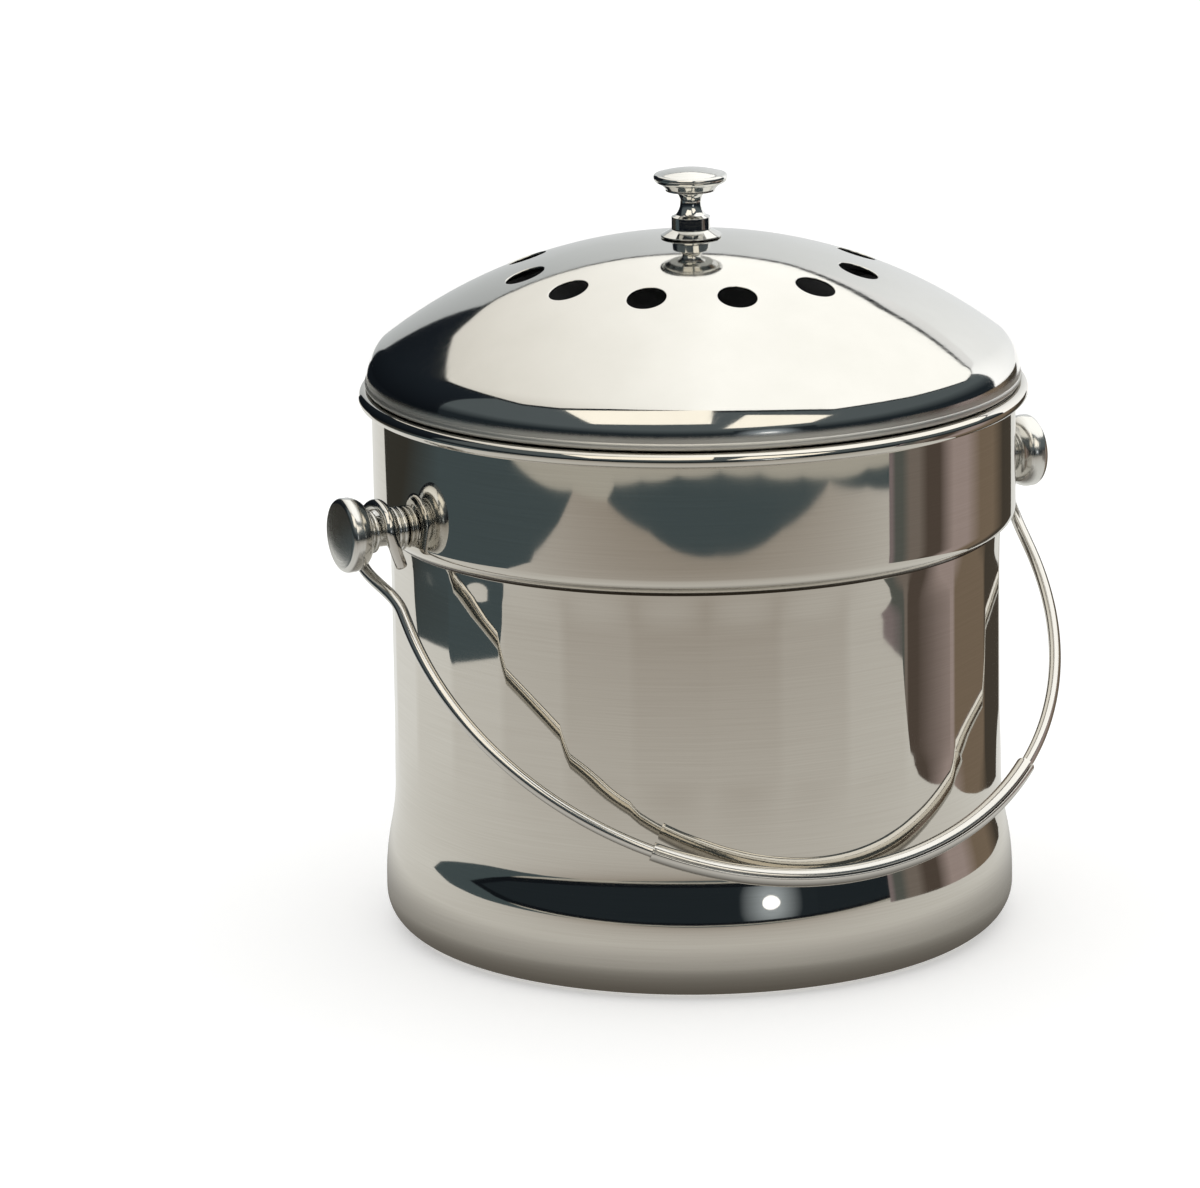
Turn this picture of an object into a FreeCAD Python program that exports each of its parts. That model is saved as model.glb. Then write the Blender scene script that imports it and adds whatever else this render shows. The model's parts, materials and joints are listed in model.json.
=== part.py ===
import FreeCAD, Part
import math
import os
import Sketcher

# Compost pail of polished stainless steel, in millimetres.
# +Z is up, the origin is the middle of the base on the table, the ear studs lie on the X axis
# and the front, where the bail hangs, faces -Y.

doc = FreeCAD.newDocument("compost_pail")
sheet = doc.addObject("Spreadsheet::Sheet", "sizes")

SIZES = {
    # pail shell
    "wall": 0.7,
    "band_radius": 92.3,
    "bulge_radius": 91.2,
    "wall_inset": 3.2,
    "bulge_height": 13.0,
    "base_round": 10.0,
    "flare_top": 43.0,
    "pail_height": 158.2,
    "band_depth": 41.8,
    "crease_round": 1.2,
    "shoulder_round": 4.5,
    "shoulder_land": 0.05,
    "bead_radius": 2.25,
    "bead_open": 60.0,
    "foot_width": 15.2,
    "foot_rise": 1.2,
    "foot_slope": 3.0,
    # ears
    "ear_rise": 3.35,
    "seat_gap": 0.05,
    "collar_root": 5.7,
    "collar_swell": 0.7,
    "collar_length": 3.4,
    "groove_width": 5.2,
    "neck_radius": 4.4,
    "ridge_radius": 6.0,
    "ridge_width": 1.4,
    "waist_radius": 5.0,
    "waist_width": 1.0,
    "cup_length": 3.6,
    "cup_radius": 9.2,
    "head_radius": 10.6,
    "head_step": 0.6,
    "head_width": 2.6,
    "head_round": 1.6,
    "head_crown": 0.5,
    "screw_radius": 2.0,
    "screw_clearance": 0.15,
    "screw_depth": 7.0,
    "screw_head_radius": 3.9,
    "screw_head_length": 2.4,
    "screw_head_round": 1.2,
    "washer_radius": 4.5,
    "washer_thickness": 1.0,
    # bail
    "wire_radius": 1.75,
    "bail_clearance": 1.35,
    "bail_leg": 31.0,
    "bail_offset": 5.0,
    "eye_clearance": 0.35,
    "flare_length": 25.0,
    "leg_flare": 3.6,
    "hook_clearance": 1.85,
    "hook_ease": 1.5,
    "tail_lean": 18.0,
    "tail_length": 10.2,
    "grip_radius": 2.7,
    "grip_wall": 0.75,
    "grip_length": 132.0,
    "grip_shift": 8.0,
    "grip_seam": 0.55,
    "grip_facing": 34.0,
    "rest_gap": 0.3,
    # lid
    "lid_wall": 0.7,
    "lid_overlap": 2.5,
    "lid_gap": 0.3,
    "dome_height": 42.0,
    "knuckle_radius": 12.2,
    "knuckle_height": 3.0,
    "hem_radius": 1.35,
    "hem_step": 0.35,
    "skirt_clearance": 1.0,
    "skirt_wall": 0.7,
    "skirt_drop": 7.5,
    "vent_ring": 49.0,
    "vent_radius": 5.5,
    "vent_count": 12,
    "vent_turn": 18.8,
    # knob on the lid
    "flange_radius": 8.7,
    "flange_edge": 0.5,
    "flange_height": 2.0,
    "knob_collar_radius": 5.6,
    "knob_collar_length": 3.5,
    "knob_throat_radius": 4.3,
    "knob_throat_length": 0.6,
    "knob_neck_radius": 3.2,
    "knob_neck_length": 3.4,
    "knob_flare_length": 4.6,
    "knob_step_radius": 8.1,
    "knob_step_length": 1.2,
    "knob_cup_length": 2.3,
    "knob_head_radius": 10.6,
    "knob_rim": 0.9,
    "knob_crown": 1.2,
    # filter inside the lid
    "clamp_radius": 6.0,
    "hub_radius": 8.0,
    "hub_thickness": 2.8,
    "arm_width": 4.0,
    "arm_depth": 3.2,
    "arm_root": 1.0,
    "arm_count": 3,
    "frame_gap": 0.3,
    "frame_wall": 3.0,
    "pad_radius": 58.5,
    "pad_clearance": 0.5,
    "pad_thickness": 6.0,
    "pad_gap": 0.15,
    "grille_clearance": 0.3,
    "grille_plug": 3.0,
    "grille_flange": 2.0,
    "slot_width": 5.0,
    "slot_inner": 14.0,
    "slot_middle": 30.0,
    "slot_margin": 5.5,
    "slot_web": 5.0,
    "inner_slots": 8,
    "outer_slots": 16,
}

for row, (name, size) in enumerate(SIZES.items(), 1):
    sheet.set(f"A{row}", name)
    sheet.set(f"B{row}", str(size))
    sheet.setAlias(f"B{row}", name)
doc.recompute()


def cell(name):
    return f"sizes.{name}"


def number(expression):
    result = sheet.evalExpression(expression)
    return float(getattr(result, "Value", result))


def origin_plane(body, role):
    return next(item for item in body.Origin.OriginFeatures if item.Role == role)


def new_body(label, height="0", half_turn=False):
    # A body on the pail's axis, raised to a height; a half turn about Z faces it to -X.
    body = doc.addObject("PartDesign::Body", label)
    body.Label = label
    turn = FreeCAD.Rotation(FreeCAD.Vector(0, 0, 1), 180 if half_turn else 0)
    body.Placement = FreeCAD.Placement(FreeCAD.Vector(0, 0, number(height)), turn)
    body.setExpression("Placement.Base.z", height)
    return body


def new_sketch(body, name, role):
    sketch = body.newObject("Sketcher::SketchObject", name)
    sketch.AttachmentSupport = [(origin_plane(body, role), "")]
    sketch.MapMode = "FlatFace"
    return sketch


def pin_point(sketch, geometry, point, x, y):
    # Ties one point of a sketch to two expressions, or to an axis where the expression is 0.
    if x == "0":
        sketch.addConstraint(Sketcher.Constraint("PointOnObject", geometry, point, -2))
    else:
        index = sketch.addConstraint(Sketcher.Constraint("DistanceX", -1, 1, geometry, point, number(x)))
        sketch.setExpression(f"Constraints[{index}]", x)
    if y == "0":
        sketch.addConstraint(Sketcher.Constraint("PointOnObject", geometry, point, -1))
    else:
        index = sketch.addConstraint(Sketcher.Constraint("DistanceY", -1, 1, geometry, point, number(y)))
        sketch.setExpression(f"Constraints[{index}]", y)


def set_radius(sketch, geometry, radius):
    index = sketch.addConstraint(Sketcher.Constraint("Radius", geometry, number(radius)))
    sketch.setExpression(f"Constraints[{index}]", radius)


def arc_between(start, end, radius, side):
    # The arc of under a half turn from start to end whose centre lies on the given side of the way.
    chord = end - start
    rise = math.sqrt(max(radius * radius - chord.Length * chord.Length / 4, 0.0))
    left = FreeCAD.Vector(-chord.y, chord.x, 0).normalize()
    centre = (start + end) * 0.5 + left * (rise if side == "left" else -rise)
    first = math.atan2(start.y - centre.y, start.x - centre.x)
    last = math.atan2(end.y - centre.y, end.x - centre.x)
    if side == "right":
        first, last = last, first
    return Part.ArcOfCircle(Part.Circle(centre, FreeCAD.Vector(0, 0, 1), radius), first, last)


def draw_outline(sketch, corners):
    # Closes a chain of corners: (x, y) leads on by a line, (x, y, radius, side) by an arc.
    spots = [FreeCAD.Vector(number(corner[0]), number(corner[1]), 0) for corner in corners]
    ends = []
    for index, corner in enumerate(corners):
        start = spots[index]
        end = spots[(index + 1) % len(corners)]
        if len(corner) == 2:
            geometry = sketch.addGeometry(Part.LineSegment(start, end))
            ends.append((geometry, 1, 2))
            continue
        radius, side = corner[2:]
        geometry = sketch.addGeometry(arc_between(start, end, number(radius), side))
        ends.append((geometry, 1, 2) if side == "left" else (geometry, 2, 1))
    for index, corner in enumerate(corners):
        geometry, first, last = ends[index]
        following, next_first, next_last = ends[(index + 1) % len(corners)]
        sketch.addConstraint(Sketcher.Constraint("Coincident", geometry, last, following, next_first))
        pin_point(sketch, geometry, first, corner[0], corner[1])
        if len(corner) > 2:
            set_radius(sketch, geometry, corner[2])


def draw_circle(sketch, x, y, radius):
    centre = FreeCAD.Vector(number(x), number(y), 0)
    circle = Part.Circle(centre, FreeCAD.Vector(0, 0, 1), number(radius))
    geometry = sketch.addGeometry(circle)
    pin_point(sketch, geometry, 3, x, y)
    set_radius(sketch, geometry, radius)


def turn_outline(body, corners, axis):
    # Revolves an outline in the XZ plane about Z ("V_Axis") or X ("H_Axis").
    sketch = new_sketch(body, body.Label + "_profile", "XZ_Plane")
    draw_outline(sketch, corners)
    turned = body.newObject("PartDesign::Revolution", body.Label + "_turned")
    turned.Profile = sketch
    turned.ReferenceAxis = (sketch, [axis])
    turned.Angle = 360
    return turned


def cut_through(body, sketch, both_ways=False):
    # Cuts a sketch through everything; the removed volume shows that it met the solid.
    doc.recompute()
    before = body.Shape.Volume
    pocket = body.newObject("PartDesign::Pocket", sketch.Name + "_cut")
    pocket.Profile = sketch
    pocket.Type = "ThroughAll"
    pocket.Midplane = both_ways
    pocket.Reversed = not both_ways
    doc.recompute()
    if body.Shape.Volume >= before:
        raise RuntimeError(f"{sketch.Name} cuts nothing")
    return pocket


def repeat_round(body, features, sketch, count):
    pattern = body.newObject("PartDesign::PolarPattern", features[0].Name + "_ring")
    pattern.Originals = features
    pattern.Axis = (sketch, ["N_Axis"])
    pattern.Angle = 360
    pattern.setExpression("Occurrences", count)
    body.Tip = pattern
    return pattern


# Pail shell: raised base panel, standing ring, rounded base, bulge, flare, wall, shoulder, band and
# a rim that is curled outward.

wall = cell("wall")
band_radius = cell("band_radius")
bulge_radius = cell("bulge_radius")
wall_radius = f"(min({band_radius}; {bulge_radius}) - {cell('wall_inset')})"
bulge_height = cell("bulge_height")
flare_top = cell("flare_top")
shoulder_height = f"({cell('pail_height')} - {cell('band_depth')})"
base_round = cell("base_round")
bead_radius = cell("bead_radius")
mouth_radius = f"({band_radius} - {wall})"
bead_middle = f"({mouth_radius} + {bead_radius})"
bead_height = f"({cell('pail_height')} - {bead_radius})"
crease = cell("crease_round")
shoulder = cell("shoulder_round")
shoulder_inside = f"({shoulder} - {wall})"
step_curve = f"({crease} + {shoulder})"
step_rise = f"({step_curve} + {cell('shoulder_land')})"
step_lag = f"({step_curve} - {band_radius} + {wall_radius})"
step_angle = f"(asin({step_curve} / sqrt({step_rise}^2 + {step_lag}^2)) - atan({step_lag} / {step_rise}))"
step_top = f"({shoulder_height} + {step_rise})"


def pail_outline():
    flare_step = f"({bulge_radius} - {wall_radius})"
    flare_rise = f"({flare_top} - {bulge_height})"
    flare_radius = f"(({flare_rise}^2 + {flare_step}^2) / (4 * {flare_step}))"
    flare_angle = f"(2 * atan({flare_step} / {flare_rise}))"
    flare_mid = (f"(({bulge_radius} + {wall_radius}) / 2)", f"(({bulge_height} + {flare_top}) / 2)")
    flare_mid_inside = (
        f"({flare_mid[0]} - {wall} * cos({flare_angle}))",
        f"({flare_mid[1]} - {wall} * sin({flare_angle}))",
    )

    def on_crease(radius):
        return (
            f"({wall_radius} + {crease} - {radius} * cos({step_angle}))",
            f"({shoulder_height} + {radius} * sin({step_angle}))",
        )

    def on_shoulder(radius):
        return (
            f"({band_radius} - {shoulder} + {radius} * cos({step_angle}))",
            f"({step_top} - {radius} * sin({step_angle}))",
        )

    crease_inside = f"({crease} + {wall})"
    curl = f"({bead_radius} - {wall})"
    curl_turn = f"((360 - {cell('bead_open')}) / 3)"

    def on_bead(radius, turns):
        angle = f"(180 - {turns} * {curl_turn})"
        return (f"({bead_middle} + {radius} * cos({angle}))", f"({bead_height} + {radius} * sin({angle}))")

    base_flat = f"({bulge_radius} - {base_round})"
    foot = f"({base_flat} - {cell('foot_width')})"
    foot_top = f"({foot} - {cell('foot_slope')})"
    rise = cell("foot_rise")
    inside = f"({bulge_radius} - {wall})"
    return [
        ("0", rise),
        (foot_top, rise),
        (foot, "0"),
        (base_flat, "0", base_round, "left"),
        (bulge_radius, base_round),
        (bulge_radius, bulge_height, flare_radius, "left"),
        (*flare_mid, flare_radius, "right"),
        (wall_radius, flare_top),
        (wall_radius, shoulder_height, crease, "right"),
        on_crease(crease),
        (*on_shoulder(shoulder), shoulder, "left"),
        (band_radius, step_top),
        (*on_bead(curl, 0), curl, "right"),
        (*on_bead(curl, 1), curl, "right"),
        (*on_bead(curl, 2), curl, "right"),
        on_bead(curl, 3),
        (*on_bead(bead_radius, 3), bead_radius, "left"),
        (*on_bead(bead_radius, 2), bead_radius, "left"),
        (*on_bead(bead_radius, 1), bead_radius, "left"),
        on_bead(bead_radius, 0),
        (mouth_radius, step_top, shoulder_inside, "right"),
        on_shoulder(shoulder_inside),
        (*on_crease(crease_inside), crease_inside, "left"),
        (f"({wall_radius} - {wall})", shoulder_height),
        (f"({wall_radius} - {wall})", flare_top, f"({flare_radius} + {wall})", "left"),
        (*flare_mid_inside, f"({flare_radius} - {wall})", "right"),
        (inside, bulge_height),
        (inside, base_round, f"({base_round} - {wall})", "right"),
        (base_flat, wall),
        (foot, wall),
        (foot_top, f"({rise} + {wall})"),
        ("0", f"({rise} + {wall})"),
    ]


ear_height = f"({step_top} + {cell('ear_rise')})"
screw_hole = f"({cell('screw_radius')} + {cell('screw_clearance')})"

pail_body = new_body("pail_body")
turn_outline(pail_body, pail_outline(), "V_Axis")
ear_holes = new_sketch(pail_body, "ear_holes", "YZ_Plane")
draw_circle(ear_holes, "0", ear_height, screw_hole)
cut_through(pail_body, ear_holes, both_ways=True)

# Ears: a ringed collar and a turned stud outside the wall, a washer and a screw inside it.

seat_gap = cell("seat_gap")
collar_foot = f"({band_radius} + {seat_gap})"
stud_foot = f"({collar_foot} + {cell('collar_length')} + {seat_gap})"
groove_end = f"({stud_foot} + {cell('groove_width')})"
screw_tip = f"({stud_foot} + {cell('screw_depth')})"
washer_radius = cell("washer_radius")
washer_dip = f"max(0; {washer_radius} - {cell('ear_rise')})"
washer_low = f"({mouth_radius} - {shoulder_inside} + sqrt({shoulder_inside}^2 - {washer_dip}^2))"
washer_face = f"(min(sqrt({mouth_radius}^2 - {washer_radius}^2); {washer_low}) - {seat_gap})"
washer_back = f"({washer_face} - {cell('washer_thickness')})"
neck_radius = cell("neck_radius")


def collar_outline():
    root = cell("collar_root")
    half = f"({cell('collar_length')} / 2)"
    swell = cell("collar_swell")
    ring_radius = f"((({half} / 2)^2 + {swell}^2) / (2 * {swell}))"
    middle = f"({collar_foot} + {half})"
    end = f"({collar_foot} + {cell('collar_length')})"
    return [
        (collar_foot, screw_hole),
        (end, screw_hole),
        (end, root, ring_radius, "left"),
        (middle, root, ring_radius, "left"),
        (collar_foot, root),
    ]


def stud_outline():
    ridge_half = f"({cell('ridge_width')} / 2)"
    ridge_end = f"({groove_end} + {cell('ridge_width')})"
    ridge_flank = f"({cell('ridge_radius')} - {ridge_half})"
    ridge_top = f"({groove_end} + {ridge_half})"
    waist = cell("waist_radius")
    waist_end = f"({ridge_end} + {cell('waist_width')})"
    cup_end = f"({waist_end} + {cell('cup_length')})"
    cup_rise = f"({cell('cup_radius')} - {waist})"
    cup_curve = f"(({cell('cup_length')}^2 + {cup_rise}^2) / (2 * {cell('cup_length')}))"
    head = cell("head_radius")
    head_round = cell("head_round")
    rim_start = f"({cup_end} + {cell('head_step')})"
    rim_end = f"({cup_end} + {cell('head_width')})"
    face = f"({rim_end} + {head_round})"
    face_radius = f"({head} - {head_round})"
    crown = cell("head_crown")
    crown_radius = f"(({face_radius}^2 + {crown}^2) / (2 * {crown}))"
    bore_end = f"({screw_tip} + {seat_gap})"
    return [
        (stud_foot, screw_hole),
        (bore_end, screw_hole),
        (bore_end, "0"),
        (f"({face} + {crown})", "0", crown_radius, "left"),
        (face, face_radius, head_round, "left"),
        (rim_end, head),
        (rim_start, head, cell("head_step"), "left"),
        (cup_end, f"({head} - {cell('head_step')})"),
        (cup_end, cell("cup_radius"), cup_curve, "left"),
        (waist_end, waist),
        (ridge_end, waist),
        (ridge_end, ridge_flank, ridge_half, "left"),
        (ridge_top, cell("ridge_radius"), ridge_half, "left"),
        (groove_end, ridge_flank),
        (groove_end, neck_radius),
        (stud_foot, neck_radius),
    ]


def washer_outline():
    return [
        (washer_back, screw_hole),
        (washer_face, screw_hole),
        (washer_face, washer_radius),
        (washer_back, washer_radius),
    ]


def ear_screw_outline():
    head_face = f"({washer_back} - {seat_gap})"
    head_top = f"({head_face} - {cell('screw_head_length')})"
    head_radius = cell("screw_head_radius")
    round_off = cell("screw_head_round")
    return [
        (head_top, "0"),
        (screw_tip, "0"),
        (screw_tip, cell("screw_radius")),
        (head_face, cell("screw_radius")),
        (head_face, head_radius),
        (f"({head_top} + {round_off})", head_radius, round_off, "left"),
        (head_top, f"({head_radius} - {round_off})"),
    ]


ear_pieces = []
for side, half_turn in (("left", True), ("right", False)):
    for piece, outline in (
        ("ear_collar", collar_outline()),
        ("ear_stud", stud_outline()),
        ("ear_washer", washer_outline()),
        ("ear_screw", ear_screw_outline()),
    ):
        ear_body = new_body(f"{piece}_{side}", ear_height, half_turn)
        turn_outline(ear_body, outline, "H_Axis")
        ear_pieces.append(ear_body)

# Bail: wire bent to a half circle with two legs. Each leg flares out, hooks behind its stud and over
# the neck, and ends in a short leaning tail. It is drawn hanging straight down from the studs and
# then swung forward to its rest on the pail.

wire_radius = cell("wire_radius")
eye_offset = f"({stud_foot} + {cell('groove_width')} / 2)"
eye_radius = f"({neck_radius} + {cell('eye_clearance')} + {wire_radius})"
bail_radius = f"({mouth_radius} + 2 * {bead_radius} + {wire_radius} + {cell('bail_clearance')})"
hook_radius = f"({cell('ridge_radius')} + {wire_radius} + {cell('hook_clearance')})"
bail_leg = cell("bail_leg")
bail_offset = cell("bail_offset")
bail_reach = f"({bail_leg} + {bail_radius})"
bail_front = f"({bulge_radius} + {cell('rest_gap')} + {cell('grip_radius')})"
bail_swing = (
    f"(asin({bail_front} / sqrt({bail_reach}^2 + {bail_offset}^2)) + atan({bail_offset} / {bail_reach}))"
)
hook_steps = 8


def hanging_side(side):
    # Edges from the tail's tip to the foot of the leg, on the stud at side * X.
    swing = math.radians(number(bail_swing))
    lean = math.radians(number(cell("tail_lean")))
    wrap = math.pi + swing

    def on_hook(share):
        angle = wrap * share
        ease = (1 - share) ** number(cell("hook_ease"))
        radius = number(eye_radius) + (number(hook_radius) - number(eye_radius)) * ease
        outer = number(bail_radius) + number(cell("leg_flare"))
        offset = number(eye_offset) + (outer - number(eye_offset)) * ease * (1 - share)
        return FreeCAD.Vector(side * offset, radius * math.cos(angle), radius * math.sin(angle))

    leg = [
        FreeCAD.Vector(side * number(bail_radius), number(bail_offset), -number(length))
        for length in (bail_leg, cell("flare_length"))
    ]
    hook = [on_hook(step / hook_steps) for step in range(hook_steps + 1)]
    tail_way = FreeCAD.Vector(
        -side * math.sin(lean), math.sin(swing) * math.cos(lean), -math.cos(swing) * math.cos(lean)
    )
    tip = hook[-1] + tail_way * number(cell("tail_length"))
    curve = Part.BSplineCurve()
    curve.interpolate(
        Points=[leg[1], *hook], InitialTangent=FreeCAD.Vector(0, 0, 1), FinalTangent=tail_way
    )
    return [
        Part.LineSegment(leg[0], leg[1]).toShape(),
        curve.toShape(),
        Part.LineSegment(hook[-1], tip).toShape(),
    ]


def bail_path():
    radius = number(bail_radius)
    offset = number(bail_offset)
    leg = number(bail_leg)
    bow = Part.Arc(
        FreeCAD.Vector(radius, offset, -leg),
        FreeCAD.Vector(0, offset, -leg - radius),
        FreeCAD.Vector(-radius, offset, -leg),
    ).toShape()
    return Part.Wire(Part.__sortEdges__([*hanging_side(1), bow, *hanging_side(-1)]))


hang_place = FreeCAD.Placement(
    FreeCAD.Vector(0, 0, number(ear_height)),
    FreeCAD.Rotation(FreeCAD.Vector(-1, 0, 0), number(bail_swing)),
)
path = doc.addObject("Part::Feature", "bail_path")
path.Shape = bail_path()
path.Placement = hang_place

first_edge = path.Shape.OrderedEdges[0]
section = doc.addObject("Part::Circle", "bail_section")
section.setExpression("Radius", wire_radius)
section.Placement = FreeCAD.Placement(
    first_edge.valueAt(first_edge.FirstParameter),
    FreeCAD.Rotation(FreeCAD.Vector(0, 0, 1), first_edge.tangentAt(first_edge.FirstParameter)),
)

bail_wire = doc.addObject("Part::Sweep", "bail_wire")
bail_wire.Label = "bail_wire"
bail_wire.Sections = [section]
bail_wire.Spine = (path, [f"Edge{index + 1}" for index in range(len(path.Shape.Edges))])
bail_wire.Solid = True
bail_wire.Frenet = False

# Grip: a strip rolled round the bow, whose open seam faces forward.

grip_outside = cell("grip_radius")
grip_inside = f"({grip_outside} - {cell('grip_wall')})"


def on_strip(radius, thirds):
    # A point of the rolled strip, by thirds of the way round from one edge of the seam to the other.
    edge = f"asin({cell('grip_seam')} / (2 * {radius}))"
    angle = f"((180 + {cell('grip_facing')}) * 1 deg + {edge} + {thirds} * (120 deg - 2 * {edge} / 3))"
    return (f"({bail_offset} + {radius} * cos({angle}))", f"({radius} * sin({angle}) - {bail_radius})")


def strip_outline():
    corners = [(*on_strip(grip_outside, third), grip_outside, "left") for third in range(3)]
    corners.append(on_strip(grip_outside, 3))
    corners += [(*on_strip(grip_inside, third), grip_inside, "right") for third in (3, 2, 1)]
    return corners + [on_strip(grip_inside, 0)]


bail_grip = new_body("bail_grip", ear_height)
bail_grip.Placement = hang_place
bail_grip.setExpression("Placement.Rotation.Angle", bail_swing)
grip_section = new_sketch(bail_grip, "grip_section", "YZ_Plane")
grip_section.AttachmentOffset = FreeCAD.Placement(FreeCAD.Vector(0, -number(bail_leg), 0), FreeCAD.Rotation())
grip_section.setExpression("AttachmentOffset.Base.y", f"-{bail_leg}")
draw_outline(grip_section, strip_outline())
grip_sleeve = bail_grip.newObject("PartDesign::Revolution", "grip_sleeve")
grip_sleeve.Profile = grip_section
grip_sleeve.ReferenceAxis = (grip_section, ["H_Axis"])
grip_sleeve.Type = "TwoAngles"
grip_half = f"({cell('grip_length')} / 2)"
for angle, reach in (
    ("Angle", f"({grip_half} - {cell('grip_shift')})"),
    ("Angle2", f"({grip_half} + {cell('grip_shift')})"),
):
    grip_sleeve.setExpression(angle, f"{reach} / {bail_radius} * 180 / pi")

# Lid: a dome with a tight curve at its edge, a rolled hem that sits on the rim, and a skirt inside
# the mouth. Heights in the lid count from the hem's lowest line.

lid_wall = cell("lid_wall")
lid_seat = f"({cell('pail_height')} + {cell('lid_gap')})"
lid_radius = f"({mouth_radius} + {cell('lid_overlap')})"
hem_radius = cell("hem_radius")
hem_middle = f"({lid_radius} - {hem_radius})"
dome_outside = f"({lid_radius} - {cell('hem_step')})"
dome_inside = f"({dome_outside} - {lid_wall})"
dome_height = cell("dome_height")
knuckle = cell("knuckle_radius")
knuckle_height = cell("knuckle_height")
knuckle_middle = f"({dome_outside} - {knuckle})"
knuckle_rise = f"({dome_height} - {knuckle_height})"
crown_radius = (
    f"(({knuckle_middle}^2 + {knuckle_rise}^2 - {knuckle}^2) / (2 * ({knuckle_rise} - {knuckle})))"
)
crown_middle = f"({dome_height} - {crown_radius})"


def under_crown(radius, gap):
    # Height of the dome's inner face at a radius, less a gap square to the face.
    return f"({crown_middle} + sqrt(({crown_radius} - {lid_wall} - {gap})^2 - {radius}^2))"


def dome_outline():
    spread = f"(1 / ({crown_radius} - {knuckle}))"

    def tangent_point(inset):
        reach = f"(({crown_radius} - {inset}) * {spread})"
        return (
            f"({knuckle_middle} * {reach})",
            f"({crown_middle} + ({knuckle_height} - {crown_middle}) * {reach})",
        )

    hem_top = f"({hem_radius} + sqrt({hem_radius}^2 - ({dome_outside} - {hem_middle})^2))"
    hem_top_inside = f"({hem_radius} + sqrt({hem_radius}^2 - ({dome_inside} - {hem_middle})^2))"
    return [
        ("0", f"({dome_height} - {lid_wall})"),
        ("0", dome_height, crown_radius, "right"),
        (*tangent_point("0"), knuckle, "right"),
        (dome_outside, knuckle_height),
        (dome_outside, hem_top, hem_radius, "right"),
        (lid_radius, hem_radius, hem_radius, "right"),
        (hem_middle, "0", hem_radius, "right"),
        (f"({hem_middle} - {hem_radius})", hem_radius, hem_radius, "right"),
        (dome_inside, hem_top_inside),
        (dome_inside, knuckle_height, f"({knuckle} - {lid_wall})", "left"),
        (*tangent_point(lid_wall), f"({crown_radius} - {lid_wall})", "left"),
    ]


lid_dome = new_body("lid_dome", lid_seat)
turn_outline(lid_dome, dome_outline(), "V_Axis")
knob_hole = new_sketch(lid_dome, "knob_hole", "XY_Plane")
draw_circle(knob_hole, "0", "0", screw_hole)
cut_through(lid_dome, knob_hole)
vent_hole = new_sketch(lid_dome, "vent_hole", "XY_Plane")
vent_x = f"({cell('vent_ring')} * cos({cell('vent_turn')}))"
vent_y = f"({cell('vent_ring')} * sin({cell('vent_turn')}))"
draw_circle(vent_hole, vent_x, vent_y, cell("vent_radius"))
repeat_round(lid_dome, [cut_through(lid_dome, vent_hole)], vent_hole, cell("vent_count"))


def skirt_outline():
    outside = f"({mouth_radius} - {cell('skirt_clearance')})"
    inside = f"({outside} - {cell('skirt_wall')})"
    reach = f"({knuckle} - {lid_wall} - {seat_gap})"
    lowest = f"(-{cell('skirt_drop')})"

    def under_knuckle(radius):
        return f"({knuckle_height} + sqrt({reach}^2 - ({radius} - {knuckle_middle})^2))"

    return [
        (inside, lowest),
        (outside, lowest),
        (outside, under_knuckle(outside)),
        (inside, under_knuckle(inside)),
    ]


lid_skirt = new_body("lid_skirt", lid_seat)
turn_outline(lid_skirt, skirt_outline(), "V_Axis")

# Knob: a conical flange on the dome's top and a turned knob on the flange. Heights count from the
# top of the dome.

dome_top = f"({lid_seat} + {dome_height})"
flange_top = f"({seat_gap} + {cell('flange_height')})"
knob_foot = f"({flange_top} + {seat_gap})"
knob_bore_top = f"({knob_foot} + {cell('screw_depth')} + {seat_gap})"


def flange_outline():
    return [
        (screw_hole, seat_gap),
        (cell("flange_radius"), seat_gap),
        (cell("flange_radius"), f"({seat_gap} + {cell('flange_edge')})"),
        (cell("knob_collar_radius"), flange_top),
        (screw_hole, flange_top),
    ]


def knob_outline():
    collar = cell("knob_collar_radius")
    collar_top = f"({knob_foot} + {cell('knob_collar_length')})"
    throat = cell("knob_throat_radius")
    throat_top = f"({collar_top} + {cell('knob_throat_length')})"
    neck = cell("knob_neck_radius")
    neck_height = f"({throat_top} + {cell('knob_neck_length')})"
    step = cell("knob_step_radius")
    step_foot = f"({neck_height} + {cell('knob_flare_length')})"
    step_end = f"({step_foot} + {cell('knob_step_length')})"
    head = cell("knob_head_radius")
    rim = cell("knob_rim")
    rim_height = f"({step_end} + {cell('knob_cup_length')})"
    rim_middle = f"({head} - {rim})"
    rim_top = f"({rim_height} + {rim})"
    crown = cell("knob_crown")
    crown_curve = f"(({rim_middle}^2 + {crown}^2) / (2 * {crown}))"

    def neck_curve(radius, height):
        return f"((({radius} - {neck})^2 + ({height} - {neck_height})^2) / (2 * ({radius} - {neck})))"

    return [
        (screw_hole, knob_foot),
        (collar, knob_foot),
        (collar, collar_top),
        (throat, throat_top, neck_curve(throat, throat_top), "right"),
        (neck, neck_height, neck_curve(step, step_foot), "right"),
        (step, step_foot),
        (step, step_end),
        (rim_middle, f"({rim_height} - {rim})", rim, "left"),
        (head, rim_height, rim, "left"),
        (rim_middle, rim_top, crown_curve, "left"),
        ("0", f"({rim_top} + {crown})"),
        ("0", knob_bore_top),
        (screw_hole, knob_bore_top),
    ]


knob_flange = new_body("knob_flange", dome_top)
turn_outline(knob_flange, flange_outline(), "V_Axis")
lid_knob = new_body("lid_knob", dome_top)
turn_outline(lid_knob, knob_outline(), "V_Axis")

# Filter frame under the dome: a hub clamped by the knob's screw, arms and a ring around the pads.

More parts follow.
